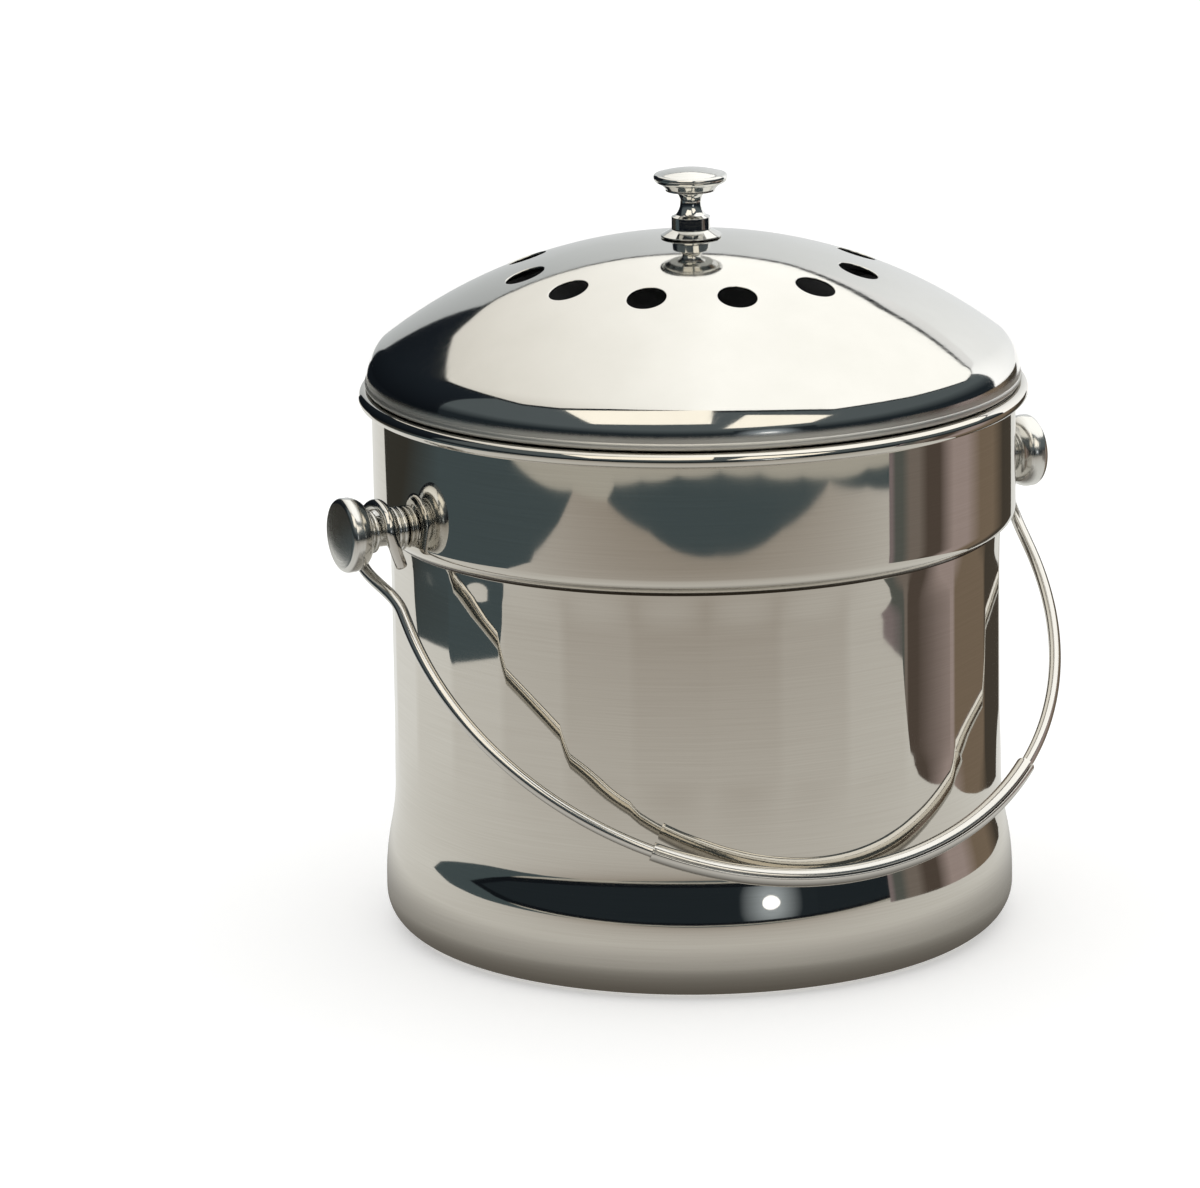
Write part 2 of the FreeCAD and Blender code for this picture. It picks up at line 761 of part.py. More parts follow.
hub_radius = cell("hub_radius")
hub_top = under_crown(hub_radius, seat_gap)
hub_foot = f"({hub_top} - {cell('hub_thickness')})"
pad_radius = cell("pad_radius")
frame_inside = f"({pad_radius} + {cell('pad_clearance')})"
frame_outside = f"({frame_inside} + {cell('frame_wall')})"
frame_gap = cell("frame_gap")
arm_foot = f"({under_crown(frame_inside, frame_gap)} - {cell('arm_depth')})"
pad_gap = cell("pad_gap")
pad_thickness = cell("pad_thickness")
upper_pad_foot = f"({arm_foot} - {pad_gap} - {pad_thickness})"
lower_pad_foot = f"({upper_pad_foot} - {pad_gap} - {pad_thickness})"
grille_top = f"({lower_pad_foot} - {pad_gap})"
grille_ledge = f"({grille_top} - {cell('grille_plug')})"
grille_foot = f"({grille_ledge} - {cell('grille_flange')})"
frame_foot = f"({grille_ledge} + {cell('grille_clearance')})"


def hub_outline():
    return [
        (screw_hole, hub_foot),
        (hub_radius, hub_foot),
        (hub_radius, hub_top),
        (screw_hole, hub_top),
    ]


def arm_outline():
    arm_start = f"({hub_radius} - {cell('arm_root')})"
    arm_end = f"({frame_inside} + {cell('frame_wall')} / 2)"
    under_curve = f"({crown_radius} - {lid_wall} - {frame_gap})"
    return [
        (arm_start, hub_foot),
        (frame_inside, arm_foot),
        (arm_end, arm_foot),
        (arm_end, under_crown(arm_end, frame_gap), under_curve, "left"),
        (arm_start, under_crown(arm_start, frame_gap)),
    ]


def ring_outline():
    under_curve = f"({crown_radius} - {lid_wall} - {frame_gap})"
    return [
        (frame_inside, frame_foot),
        (frame_outside, frame_foot),
        (frame_outside, under_crown(frame_outside, frame_gap), under_curve, "left"),
        (frame_inside, under_crown(frame_inside, frame_gap)),
    ]


filter_frame = new_body("filter_frame", lid_seat)
turn_outline(filter_frame, hub_outline(), "V_Axis")
arm_profile = new_sketch(filter_frame, "arm_profile", "XZ_Plane")
draw_outline(arm_profile, arm_outline())
frame_arm = filter_frame.newObject("PartDesign::Pad", "frame_arm")
frame_arm.Profile = arm_profile
frame_arm.setExpression("Length", cell("arm_width"))
frame_arm.Midplane = True
arm_axis = new_sketch(filter_frame, "arm_axis", "XY_Plane")
repeat_round(filter_frame, [frame_arm], arm_axis, cell("arm_count"))
ring_profile = new_sketch(filter_frame, "ring_profile", "XZ_Plane")
draw_outline(ring_profile, ring_outline())
frame_ring = filter_frame.newObject("PartDesign::Revolution", "frame_ring")
frame_ring.Profile = ring_profile
frame_ring.ReferenceAxis = (ring_profile, ["V_Axis"])
frame_ring.Angle = 360
filter_frame.Tip = frame_ring

# Knob screw and its washer, below the hub.

clamp_face = f"({hub_foot} - {seat_gap})"
clamp_back = f"({clamp_face} - {cell('washer_thickness')})"


def clamp_outline():
    return [
        (screw_hole, clamp_back),
        (cell("clamp_radius"), clamp_back),
        (cell("clamp_radius"), clamp_face),
        (screw_hole, clamp_face),
    ]


def knob_screw_outline():
    head_face = f"({clamp_back} - {seat_gap})"
    head_top = f"({head_face} - {cell('screw_head_length')})"
    head_radius = cell("screw_head_radius")
    round_off = cell("screw_head_round")
    tip = f"({dome_height} + {knob_foot} + {cell('screw_depth')})"
    return [
        ("0", head_top),
        (f"({head_radius} - {round_off})", head_top, round_off, "left"),
        (head_radius, f"({head_top} + {round_off})"),
        (head_radius, head_face),
        (cell("screw_radius"), head_face),
        (cell("screw_radius"), tip),
        ("0", tip),
    ]


knob_washer = new_body("knob_washer", lid_seat)
turn_outline(knob_washer, clamp_outline(), "V_Axis")
knob_screw = new_body("knob_screw", lid_seat)
turn_outline(knob_screw, knob_screw_outline(), "V_Axis")

# Charcoal pads and the slotted grille that carries them.

pads = []
for label, foot in (("charcoal_filter_upper", upper_pad_foot), ("charcoal_filter_lower", lower_pad_foot)):
    pad = doc.addObject("Part::Cylinder", label)
    pad.Label = label
    pad.setExpression("Radius", pad_radius)
    pad.setExpression("Height", pad_thickness)
    pad.setExpression("Placement.Base.z", f"{lid_seat} + {foot}")
    pads.append(pad)


def grille_outline():
    plug = f"({frame_inside} - {cell('grille_clearance')})"
    return [
        ("0", grille_foot),
        (frame_outside, grille_foot),
        (frame_outside, grille_ledge),
        (plug, grille_ledge),
        (plug, grille_top),
        ("0", grille_top),
    ]


def slot_outline(start, end):
    # A radial slot on the X axis with round ends.
    half = f"({cell('slot_width')} / 2)"
    first = f"({start} + {half})"
    last = f"({end} - {half})"
    below = f"(-{half})"
    return [
        (first, below),
        (last, below, half, "left"),
        (end, "0", half, "left"),
        (last, half),
        (first, half, half, "left"),
        (start, "0", half, "left"),
    ]


filter_grille = new_body("filter_grille", lid_seat)
turn_outline(filter_grille, grille_outline(), "V_Axis")
slot_end = f"({cell('slot_middle')} - {cell('slot_web')} / 2)"
slot_start = f"({cell('slot_middle')} + {cell('slot_web')} / 2)"
slot_outer = f"({pad_radius} - {cell('slot_margin')})"
for name, start, end, count in (
    ("inner_slot", cell("slot_inner"), slot_end, cell("inner_slots")),
    ("outer_slot", slot_start, slot_outer, cell("outer_slots")),
):
    slot = new_sketch(filter_grille, name, "XY_Plane")
    draw_outline(slot, slot_outline(start, end))
    repeat_round(filter_grille, [cut_through(filter_grille, slot)], slot, count)

# Every piece is tested and then written under its own name.

sub_parts = [
    pail_body,
    *ear_pieces,
    bail_wire,
    bail_grip,
    lid_dome,
    lid_skirt,
    knob_flange,
    lid_knob,
    filter_frame,
    knob_washer,
    knob_screw,
    *pads,
    filter_grille,
]

doc.recompute()
for item in doc.Objects:
    if "Invalid" in item.State or "Error" in item.State:
        raise RuntimeError(f"{item.Label} failed: {item.State}")
for part in sub_parts:
    if part.Shape.isNull() or not part.Shape.isValid():
        raise RuntimeError(f"{part.Label} has no valid shape")
    if len(part.Shape.Solids) != 1:
        raise RuntimeError(f"{part.Label} is not one solid")

wire_volume = math.pi * number(cell("wire_radius")) ** 2 * path.Shape.Length
print(f"bail wire volume {bail_wire.Shape.Volume:.1f}, section times length {wire_volume:.1f}")
print(f"bail hangs {number(bail_swing):.2f} degrees forward")

os.makedirs("parts", exist_ok=True)
for part in sub_parts:
    part.Shape.exportStep(f"parts/{part.Label}.step")
    print(f"{part.Label}: {part.Shape.Volume:.1f} mm3")
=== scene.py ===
import json
from math import asin, atan, atan2, ceil, cos, degrees, hypot, pi, radians, sin, sqrt, tan

import bmesh
import bpy
import numpy as np
from mathutils import Matrix, Vector, noise


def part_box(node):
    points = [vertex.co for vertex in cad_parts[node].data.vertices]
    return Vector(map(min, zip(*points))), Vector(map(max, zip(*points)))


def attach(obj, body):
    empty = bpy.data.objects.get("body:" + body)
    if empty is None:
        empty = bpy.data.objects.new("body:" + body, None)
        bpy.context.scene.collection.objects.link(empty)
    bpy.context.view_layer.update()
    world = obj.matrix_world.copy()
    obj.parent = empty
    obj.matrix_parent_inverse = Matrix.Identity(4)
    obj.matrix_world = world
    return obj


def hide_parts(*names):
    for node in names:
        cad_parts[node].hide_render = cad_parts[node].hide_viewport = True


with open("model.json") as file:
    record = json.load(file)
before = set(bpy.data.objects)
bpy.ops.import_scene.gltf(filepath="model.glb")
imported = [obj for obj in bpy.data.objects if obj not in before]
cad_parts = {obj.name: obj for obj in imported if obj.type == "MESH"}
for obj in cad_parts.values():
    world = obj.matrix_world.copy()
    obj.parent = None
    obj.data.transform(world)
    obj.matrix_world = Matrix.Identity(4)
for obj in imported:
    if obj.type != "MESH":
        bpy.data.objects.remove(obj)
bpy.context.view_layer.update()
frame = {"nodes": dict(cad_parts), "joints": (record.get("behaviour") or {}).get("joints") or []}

mm = 0.001
weld = 1e-4  # points closer than this many millimetres become one
hardEdge = 40  # degrees; a sharper turn between faces keeps its edge


# small tools for profiles, meshes and materials

def linear(hexColour):
    channels = [int(hexColour[i:i + 2], 16) / 255 for i in (1, 3, 5)]
    return [c / 12.92 if c <= 0.04045 else ((c + 0.055) / 1.055) ** 2.4 for c in channels] + [1.0]


def arcBetween(start, end, radius, side, step, run):
    # arc of under a half turn, its centre on the given side of the way from start to end
    sign = 1 if side == "left" else -1
    chord = Vector(end) - Vector(start)
    rise = sqrt(max(radius * radius - chord.length_squared / 4, 0))
    left = Vector((-chord.y, chord.x)).normalized()
    centre = (Vector(start) + Vector(end)) / 2 + left * rise * sign
    first = atan2(start[1] - centre.y, start[0] - centre.x)
    turn = 2 * asin(min(1, chord.length / 2 / radius)) * sign
    count = max(2, ceil(abs(turn) / radians(step)), ceil(abs(turn) * radius / run))
    angles = [first + turn * i / count for i in range(count)]
    return [(centre.x + radius * cos(a), centre.y + radius * sin(a)) for a in angles]


def outline(corners, step=5, run=3.0, closed=False):
    # corners lead on by a line (x, y) or by an arc (x, y, radius, side);
    # arcs are split into steps of degrees, and both into runs of millimetres
    points = []
    for corner, after in zip(corners, corners[1:] + corners[:1] if closed else corners[1:]):
        start, end = corner[:2], after[:2]
        if len(corner) == 4:
            points += arcBetween(start, end, corner[2], corner[3], step, run)
            continue
        count = max(1, ceil(hypot(end[0] - start[0], end[1] - start[1]) / run))
        points += [tuple(spot) for spot in np.linspace(start, end, count, endpoint=False)]
    return points if closed else points + [corners[-1][:2]]


def soften(points, radius, sharpFrom=25, share=0.4, closed=False):
    # rounds each corner that turns by more than these degrees, with a guard point on either side;
    # a round takes at most this share of the lines beside it
    result = []
    for i, point in enumerate(points):
        atEnd = not closed and i in (0, len(points) - 1)
        here = Vector(point)
        back = Vector(points[i - 1]) - here
        ahead = Vector(points[(i + 1) % len(points)]) - here
        turn = 0 if atEnd else pi - back.angle(ahead)
        if turn < radians(sharpFrom):
            result.append(point)
            continue
        cut = min(radius * tan(turn / 2), share * back.length, share * ahead.length)
        start, end = here + back.normalized() * cut, here + ahead.normalized() * cut
        bend = [start.lerp(here, t).lerp(here.lerp(end, t), t) for t in (0, 0.25, 0.5, 0.75, 1)]
        result += [tuple(spot) for spot in (2 * start - here, *bend, 2 * end - here)]
    return result


def lathe(profile, columns, closed=False, first=0.0):
    # turns a profile of (radius, height) about Z; points on the axis become single poles
    angles = [first + 2 * pi * i / columns for i in range(columns)]
    points, rings = [], []
    for radius, height in profile:
        start = len(points)
        if radius < weld:
            points.append((0, 0, height))
            rings.append([start] * columns)
            continue
        points += [(radius * cos(a), radius * sin(a), height) for a in angles]
        rings.append(list(range(start, start + columns)))
    return points, stripFaces(rings, closed)


def stripFaces(rings, closed=False):
    faces = []
    for low, high in zip(rings, rings[1:] + rings[:1] if closed else rings[1:]):
        for i in range(len(low)):
            j = (i + 1) % len(low)
            corners = list(dict.fromkeys([low[i], low[j], high[j], high[i]]))
            if len(corners) > 2:
                faces.append(corners)
    return faces


def makePiece(name, body, material, slot, nodes, points, faces, place=None):
    # points in millimetres; the piece rides its body and stands for its CAD nodes
    mesh = bpy.data.meshes.new(name)
    mesh.from_pydata([Vector(p) * mm for p in points], [], faces)
    work = bmesh.new()
    work.from_mesh(mesh)
    bmesh.ops.remove_doubles(work, verts=work.verts, dist=weld * mm)
    bmesh.ops.recalc_face_normals(work, faces=work.faces)
    work.to_mesh(mesh)
    work.free()
    mesh.shade_smooth()
    mesh.set_sharp_from_angle(angle=radians(hardEdge))
    mesh.materials.append(material)
    piece = bpy.data.objects.new(name, mesh)
    bpy.context.scene.collection.objects.link(piece)
    if place:
        piece.matrix_world = place
    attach(piece, body)
    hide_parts(*nodes)
    return piece


def addNode(tree, kind, sockets, **settings):
    node = tree.nodes.new("ShaderNode" + kind)
    for name, value in settings.items():
        setattr(node, name, value)
    for socket, value in sockets.items():
        if isinstance(value, bpy.types.NodeSocket):
            tree.links.new(value, node.inputs[socket])
        else:
            node.inputs[socket].default_value = value
    return node.outputs


def newMaterial(name):
    material = bpy.data.materials.new(name)
    material.use_nodes = True
    return material, material.node_tree, material.node_tree.nodes["Principled BSDF"]


def perMm(size):
    # texture scale for a feature of this size in millimetres
    return 1 / (size * mm)


# materials

noiseSpan = (0.3, 0.7)  # most values of a noise texture lie in this span


def finishSurface(tree, shader, look, colourBy, roughBy, relief, depth, strength=1):
    # the colour runs from pale to deep by one pattern, the roughness over its range by another,
    # and a third stands out by a depth in millimetres
    pale, deep = linear(look["pale"]), linear(look["deep"])
    tint = addNode(tree, "MixRGB", {"Fac": colourBy, "Color1": pale, "Color2": deep})["Color"]
    low, high = noiseSpan
    smooth, dull = look["rough"]
    spans = {"From Min": low, "From Max": high, "To Min": smooth, "To Max": dull}
    rough = addNode(tree, "MapRange", {"Value": roughBy, **spans})["Result"]
    raised = addNode(tree, "Bump", {"Height": relief, "Strength": strength, "Distance": depth * mm})["Normal"]
    tree.links.new(tint, shader.inputs["Base Color"])
    tree.links.new(rough, shader.inputs["Roughness"])
    tree.links.new(raised, shader.inputs["Normal"])
    return {"tint": tint, "rough": rough, "raised": raised}


def dullBelow(tree, shader, rough, amount, height, fade):
    # adds to the roughness below a height; the addition fades out between two heights in millimetres
    low, high = (size * mm for size in fade)
    spans = {"From Min": low, "From Max": high, "To Min": amount, "To Max": 0}
    added = addNode(tree, "MapRange", {"Value": height, **spans})["Result"]
    total = addNode(tree, "Math", {0: rough, 1: added}, operation="ADD")["Value"]
    tree.links.new(total, shader.inputs["Roughness"])


def drawnStainless(creaseHeight):
    # 18/8 stainless sheet, deep drawn and polished: a clear mirror with fine polishing lines round the wall,
    # slight upright waves from the drawing that bend what it reflects, a duller foot,
    # and a painted shade line, darkened into the colour, in the crease under the shoulder
    # the dark third colour is painted shade for the line in the crease, not a stain
    look = {"pale": "#dedbd4", "deep": "#d1cdc5", "soot": "#3a332a", "rough": (0.025, 0.045), "satin": 0.16}
    pattern = {  # millimetres
        "wave": (6, 6, 120), "waveDepth": 0.008, "line": (30, 30, 0.45), "lineDepth": 0.0001,
        "cloud": 30, "satinTop": (12, 17), "shadeLineHalf": 0.42,
    }
    material, tree, shader = newMaterial("drawnStainless")
    place = addNode(tree, "TexCoord", {})["Object"]
    height = addNode(tree, "SeparateXYZ", {"Vector": place})["Z"]
    waveScale, lineScale = ([perMm(size) for size in pattern[name]] for name in ("wave", "line"))
    waveAt = addNode(tree, "Mapping", {"Vector": place, "Scale": waveScale})["Vector"]
    lineAt = addNode(tree, "Mapping", {"Vector": place, "Scale": lineScale})["Vector"]
    wave = addNode(tree, "TexNoise", {"Vector": waveAt, "Scale": 1, "Detail": 1})["Fac"]
    line = addNode(tree, "TexNoise", {"Vector": lineAt, "Scale": 1, "Detail": 3})["Fac"]
    cloud = addNode(tree, "TexNoise", {"Vector": place, "Scale": perMm(pattern["cloud"]), "Detail": 2})["Fac"]
    made = finishSurface(tree, shader, look, line, cloud, wave, pattern["waveDepth"])
    dullBelow(tree, shader, made["rough"], look["satin"], height, pattern["satinTop"])
    # painted shade: a thin band round the crease height is darkened in the base colour, for the shade that
    # the crease reflects
    crease = {0: height, 1: creaseHeight * mm, 2: pattern["shadeLineHalf"] * mm}
    near = addNode(tree, "Math", crease, operation="COMPARE")["Value"]
    sooty = addNode(tree, "MixRGB", {"Fac": near, "Color1": made["tint"], "Color2": linear(look["soot"])})
    tree.links.new(sooty["Color"], shader.inputs["Base Color"])
    lined = {"Height": line, "Strength": 1, "Distance": pattern["lineDepth"] * mm, "Normal": made["raised"]}
    tree.links.new(addNode(tree, "Bump", lined)["Normal"], shader.inputs["Normal"])
    shader.inputs["Metallic"].default_value = 1
    return material


def mirrorStainless(seat):
    # stainless lid, buffed to a mirror: crisp reflections with a faint haze of polishing marks,
    # and a dull rolled hem just above its seat
    look = {"pale": "#dcdbd7", "deep": "#d3d2cd", "rough": (0.045, 0.09), "satin": 0.42}
    pattern = {"haze": 16, "hazeDepth": 0.018, "mark": (9, 0.6, 4), "satinTop": (3.1, 4.9)}  # millimetres
    material, tree, shader = newMaterial("mirrorStainless")
    place = addNode(tree, "TexCoord", {})["Object"]
    height = addNode(tree, "SeparateXYZ", {"Vector": place})["Z"]
    markScale = [perMm(size) for size in pattern["mark"]]
    markAt = addNode(tree, "Mapping", {"Vector": place, "Scale": markScale})["Vector"]
    haze = addNode(tree, "TexNoise", {"Vector": place, "Scale": perMm(pattern["haze"]), "Detail": 4})["Fac"]
    mark = addNode(tree, "TexNoise", {"Vector": markAt, "Scale": 1, "Detail": 3})["Fac"]
    made = finishSurface(tree, shader, look, haze, mark, haze, pattern["hazeDepth"])
    fade = [seat + rise for rise in pattern["satinTop"]]
    dullBelow(tree, shader, made["rough"], look["satin"], height, fade)
    shader.inputs["Metallic"].default_value = 1
    return material


def turnedStainless(name, rough):
    # stainless bar, turned and then buffed or left satin: fine rings round the piece's own Z axis
    look = {"pale": "#e4e4e1", "deep": "#d4d3cf", "rough": rough}
    tool = {"width": 0.35, "depth": 0.0012}  # millimetres; real tool marks are finer and would not show
    material, tree, shader = newMaterial(name)
    place = addNode(tree, "TexCoord", {})["Object"]
    parts = addNode(tree, "SeparateXYZ", {"Vector": place})
    flat = addNode(tree, "CombineXYZ", {"X": parts["X"], "Y": parts["Y"]})["Vector"]
    reach = addNode(tree, "VectorMath", {0: flat}, operation="LENGTH")["Value"]
    along = addNode(tree, "CombineXYZ", {"X": reach, "Y": parts["Z"]})["Vector"]
    ring = addNode(tree, "TexNoise", {"Vector": along, "Scale": perMm(tool["width"]), "Detail": 2})["Fac"]
    finishSurface(tree, shader, look, ring, ring, ring, tool["depth"])
    shader.inputs["Metallic"].default_value = 1
    return material


def drawnWire():
    # stainless wire and rolled sleeve, drawn through a die: bright, with fine lines along the length
    look = {"pale": "#dedcd8", "deep": "#cbc9c4", "rough": (0.08, 0.18)}
    die = {"line": (0.4, 30, 1), "depth": 0.003}  # millimetres
    material, tree, shader = newMaterial("drawnWire")
    place = addNode(tree, "UVMap", {}, uv_map="round")["UV"]
    lineScale = [perMm(size) for size in die["line"]]
    lineAt = addNode(tree, "Mapping", {"Vector": place, "Scale": lineScale})["Vector"]
    line = addNode(tree, "TexNoise", {"Vector": lineAt, "Scale": 1, "Detail": 3})["Fac"]
    finishSurface(tree, shader, look, line, line, line, die["depth"])
    shader.inputs["Metallic"].default_value = 1
    return material


def machinedSteel():
    # plain machine screws and washers: dull bright steel with a fine pickled grain
    look = {"pale": "#b4b3b0", "deep": "#98979a", "rough": (0.28, 0.42)}
    grain = {"width": 0.5, "depth": 0.02}  # millimetres
    material, tree, shader = newMaterial("machinedSteel")
    place = addNode(tree, "TexCoord", {})["Object"]
    speck = addNode(tree, "TexNoise", {"Vector": place, "Scale": perMm(grain["width"]), "Detail": 3})["Fac"]
    finishSurface(tree, shader, look, speck, speck, speck, grain["depth"], strength=0.5)
    shader.inputs["Metallic"].default_value = 1
    return material


def mouldedPolypropylene():
    # black polypropylene from a spark-eroded mould: matte, with a fine even grain
    look = {"pale": "#2b2b2d", "deep": "#1c1c1e", "rough": (0.42, 0.58)}
    grain = {"width": 0.7, "depth": 0.06}  # millimetres
    material, tree, shader = newMaterial("mouldedPolypropylene")
    place = addNode(tree, "TexCoord", {})["Object"]
    speck = addNode(tree, "TexNoise", {"Vector": place, "Scale": perMm(grain["width"]), "Detail": 2})["Fac"]
    finishSurface(tree, shader, look, speck, speck, speck, grain["depth"], strength=0.6)
    shader.inputs["IOR"].default_value = 1.49
    return material


def charcoalFelt():
    # needled polyester felt soaked with charcoal: sooty black, with matted fibres and paler specks
    look = {"fibre": "#242425", "soot": "#0c0c0d"}
    felt = {"fibre": 0.9, "clump": 7, "depth": 0.4}  # millimetres
    material, tree, shader = newMaterial("charcoalFelt")
    place = addNode(tree, "TexCoord", {})["Object"]
    fibres = {"Vector": place, "Scale": perMm(felt["fibre"]), "Detail": 5, "Distortion": 1.5}
    strand = addNode(tree, "TexNoise", fibres)["Fac"]
    lump = addNode(tree, "TexNoise", {"Vector": place, "Scale": perMm(felt["clump"]), "Detail": 2})["Fac"]
    height = addNode(tree, "Math", {0: strand, 1: lump}, operation="ADD")["Value"]
    soot, fibre = linear(look["soot"]), linear(look["fibre"])
    tint = addNode(tree, "MixRGB", {"Fac": strand, "Color1": soot, "Color2": fibre})["Color"]
    tree.links.new(tint, shader.inputs["Base Color"])
    matted = {"Height": height, "Strength": 0.9, "Distance": felt["depth"] * mm}
    tree.links.new(addNode(tree, "Bump", matted)["Normal"], shader.inputs["Normal"])
    shader.inputs["Roughness"].default_value = 0.95
    shader.inputs["Sheen Weight"].default_value = 0.25
    shader.inputs["Sheen Roughness"].default_value = 0.5
    return material


steelBuffed = turnedStainless("buffedStainless", (0.04, 0.11))
steelSatin = turnedStainless("satinStainless", (0.13, 0.24))
steelWire = drawnWire()
steelScrew = machinedSteel()
blackPlastic = mouldedPolypropylene()
blackFelt = charcoalFelt()
print("bar, wire, screw, plastic and felt materials made")


# pail shell; lengths here and below in millimetres, angles in degrees

pail = {
    "wall": 0.7, "bandRadius": 92.3, "bulgeRadius": 91.2, "wallInset": 3.2, "bulgeHeight": 13.0,
    "baseRound": 10.0, "flareTop": 43.0, "height": 158.2, "bandDepth": 41.8, "crease": 1.2,
    "shoulder": 4.5, "land": 0.05, "bead": 2.25, "beadOpen": 60, "footWidth": 15.2, "footRise": 1.2,
    # the painted shade line in the crease sits this far above the shoulder's foot
    "footSlope": 3.0, "edge": 0.3, "shadeLineRise": 0.55, "flats": 27, "flatTurn": -114.4, "flatShare": 0.8,
    "flatDrop": 1.0, "flatFade": (20, 8), "columns": 27 * 14,
}
wallRadius = min(pail["bandRadius"], pail["bulgeRadius"]) - pail["wallInset"]
mouthRadius = pail["bandRadius"] - pail["wall"]
shoulderFoot = pail["height"] - pail["bandDepth"]
shoulderTop = shoulderFoot + pail["crease"] + pail["shoulder"] + pail["land"]
beadMiddle = (mouthRadius + pail["bead"], pail["height"] - pail["bead"])
# the sheet's painted shade line goes round the crease under the shoulder
steelSheet = drawnStainless(shoulderFoot + pail["shadeLineRise"])


def pailProfile():
    # from the middle of the bottom up the outside, round the rolled rim and down the inside
    wall, bulge, band = pail["wall"], pail["bulgeRadius"], pail["bandRadius"]
    crease, shoulder, bead, base = pail["crease"], pail["shoulder"], pail["bead"], pail["baseRound"]
    low, high, rise = pail["bulgeHeight"], pail["flareTop"], pail["footRise"]
    step = bulge - wallRadius
    flare = ((high - low) ** 2 + step ** 2) / (4 * step)
    lean = 2 * atan(step / (high - low))
    middle = ((bulge + wallRadius) / 2, (low + high) / 2)
    middleInside = (middle[0] - wall * cos(lean), middle[1] - wall * sin(lean))
    climb = crease + shoulder + pail["land"]
    lag = crease + shoulder - band + wallRadius
    tilt = asin((crease + shoulder) / hypot(climb, lag)) - atan(lag / climb)

    def onCrease(radius):
        return wallRadius + crease - radius * cos(tilt), shoulderFoot + radius * sin(tilt)

    def onShoulder(radius):
        return band - shoulder + radius * cos(tilt), shoulderTop - radius * sin(tilt)

    def onBead(radius, share):
        angle = radians(180 - (360 - pail["beadOpen"]) * share)
        return beadMiddle[0] + radius * cos(angle), beadMiddle[1] + radius * sin(angle)

    curl = bead - wall
    flat = bulge - base
    foot = flat - pail["footWidth"]
    panel = foot - pail["footSlope"]
    thirds = (0, 1 / 3, 2 / 3)
    corners = [(0, rise), (panel, rise), (foot, 0), (flat, 0, base, "left")]
    corners += [(bulge, base), (bulge, low, flare, "left"), (*middle, flare, "right"), (wallRadius, high)]
    corners += [(wallRadius, shoulderFoot, crease, "right"), onCrease(crease)]
    corners += [(*onShoulder(shoulder), shoulder, "left"), (band, shoulderTop)]
    corners += [(*onBead(curl, share), curl, "right") for share in thirds] + [onBead(curl, 1)]
    corners += [(*onBead(bead, 1 - share), bead, "left") for share in thirds] + [onBead(bead, 0)]
    corners += [(mouthRadius, shoulderTop, shoulder - wall, "right"), onShoulder(shoulder - wall)]
    corners += [(*onCrease(crease + wall), crease + wall, "left"), (wallRadius - wall, shoulderFoot)]
    corners += [(wallRadius - wall, high, flare + wall, "left"), (*middleInside, flare - wall, "right")]
    corners += [(bulge - wall, low), (bulge - wall, base, base - wall, "right"), (flat, wall)]
    corners += [(foot, wall), (panel, rise + wall), (0, rise + wall)]
    return soften(outline(corners, step=4), pail["edge"])


def flattened(points):
    # the wall was spread by jaws, which left upright flats between the flare and the shoulder
    half = pi / pail["flats"]
    low, high = pail["flareTop"] - pail["flatDrop"], shoulderFoot
    riseLength, fallLength = pail["flatFade"]
    result = []
    for x, y, z in points:
        turn = (atan2(y, x) - radians(pail["flatTurn"])) % (2 * half) - half
        rise = min(1, max(0, (z - low) / riseLength))
        fall = min(1, max(0, (high - z) / fallLength))
        press = 1 - pail["flatShare"] * rise ** 2 * fall * (1 - cos(half) / cos(turn))
        result.append((x * press, y * press, z))
    return result


def makeShell():
    points, faces = lathe(pailProfile(), pail["columns"], first=radians(pail["flatTurn"]))
    points = flattened(points)
    return makePiece("pailShell", "pail", steelSheet, "polished_steel", ["pail_body"], points, faces)


shell = makeShell()
print("pail shell:", len(shell.data.vertices), "points")


# ears: ringed collar and turned stud on each side

swing = next(joint for joint in frame["joints"] if joint["name"] == "bail_swing")
earHeight = swing["pos_m"][2] / mm
ear = {
    "gap": 0.05, "hole": 2.15, "collarRoot": 5.7, "collarSwell": 0.7, "collarLength": 3.4,
    "groove": 5.2, "neck": 4.4, "ridge": 6.0, "ridgeWidth": 1.4, "waist": 5.0, "waistWidth": 1.0,
    "backLength": 4.6, "backRound": 5.2, "head": 10.6, "headWidth": 1.6, "headRound": 1.6,
    "crown": 0.5, "boreDepth": 7.05, "columns": 96, "edge": 0.15,
}
collarFoot = pail["bandRadius"] + ear["gap"]
studFoot = collarFoot + ear["collarLength"] + ear["gap"]


def collarProfile():
    # two rounded rings side by side; heights run outward along the ear's axis
    half, swell = ear["collarLength"] / 2, ear["collarSwell"]
    ring = ((half / 2) ** 2 + swell ** 2) / (2 * swell)
    root, hole = ear["collarRoot"], ear["hole"]
    corners = [(hole, 0), (root, 0, ring, "left"), (root, half, ring, "left")]
    corners += [(root, 2 * half), (hole, 2 * half)]
    return soften(outline(corners, step=8, run=0.6, closed=True), ear["edge"], closed=True)


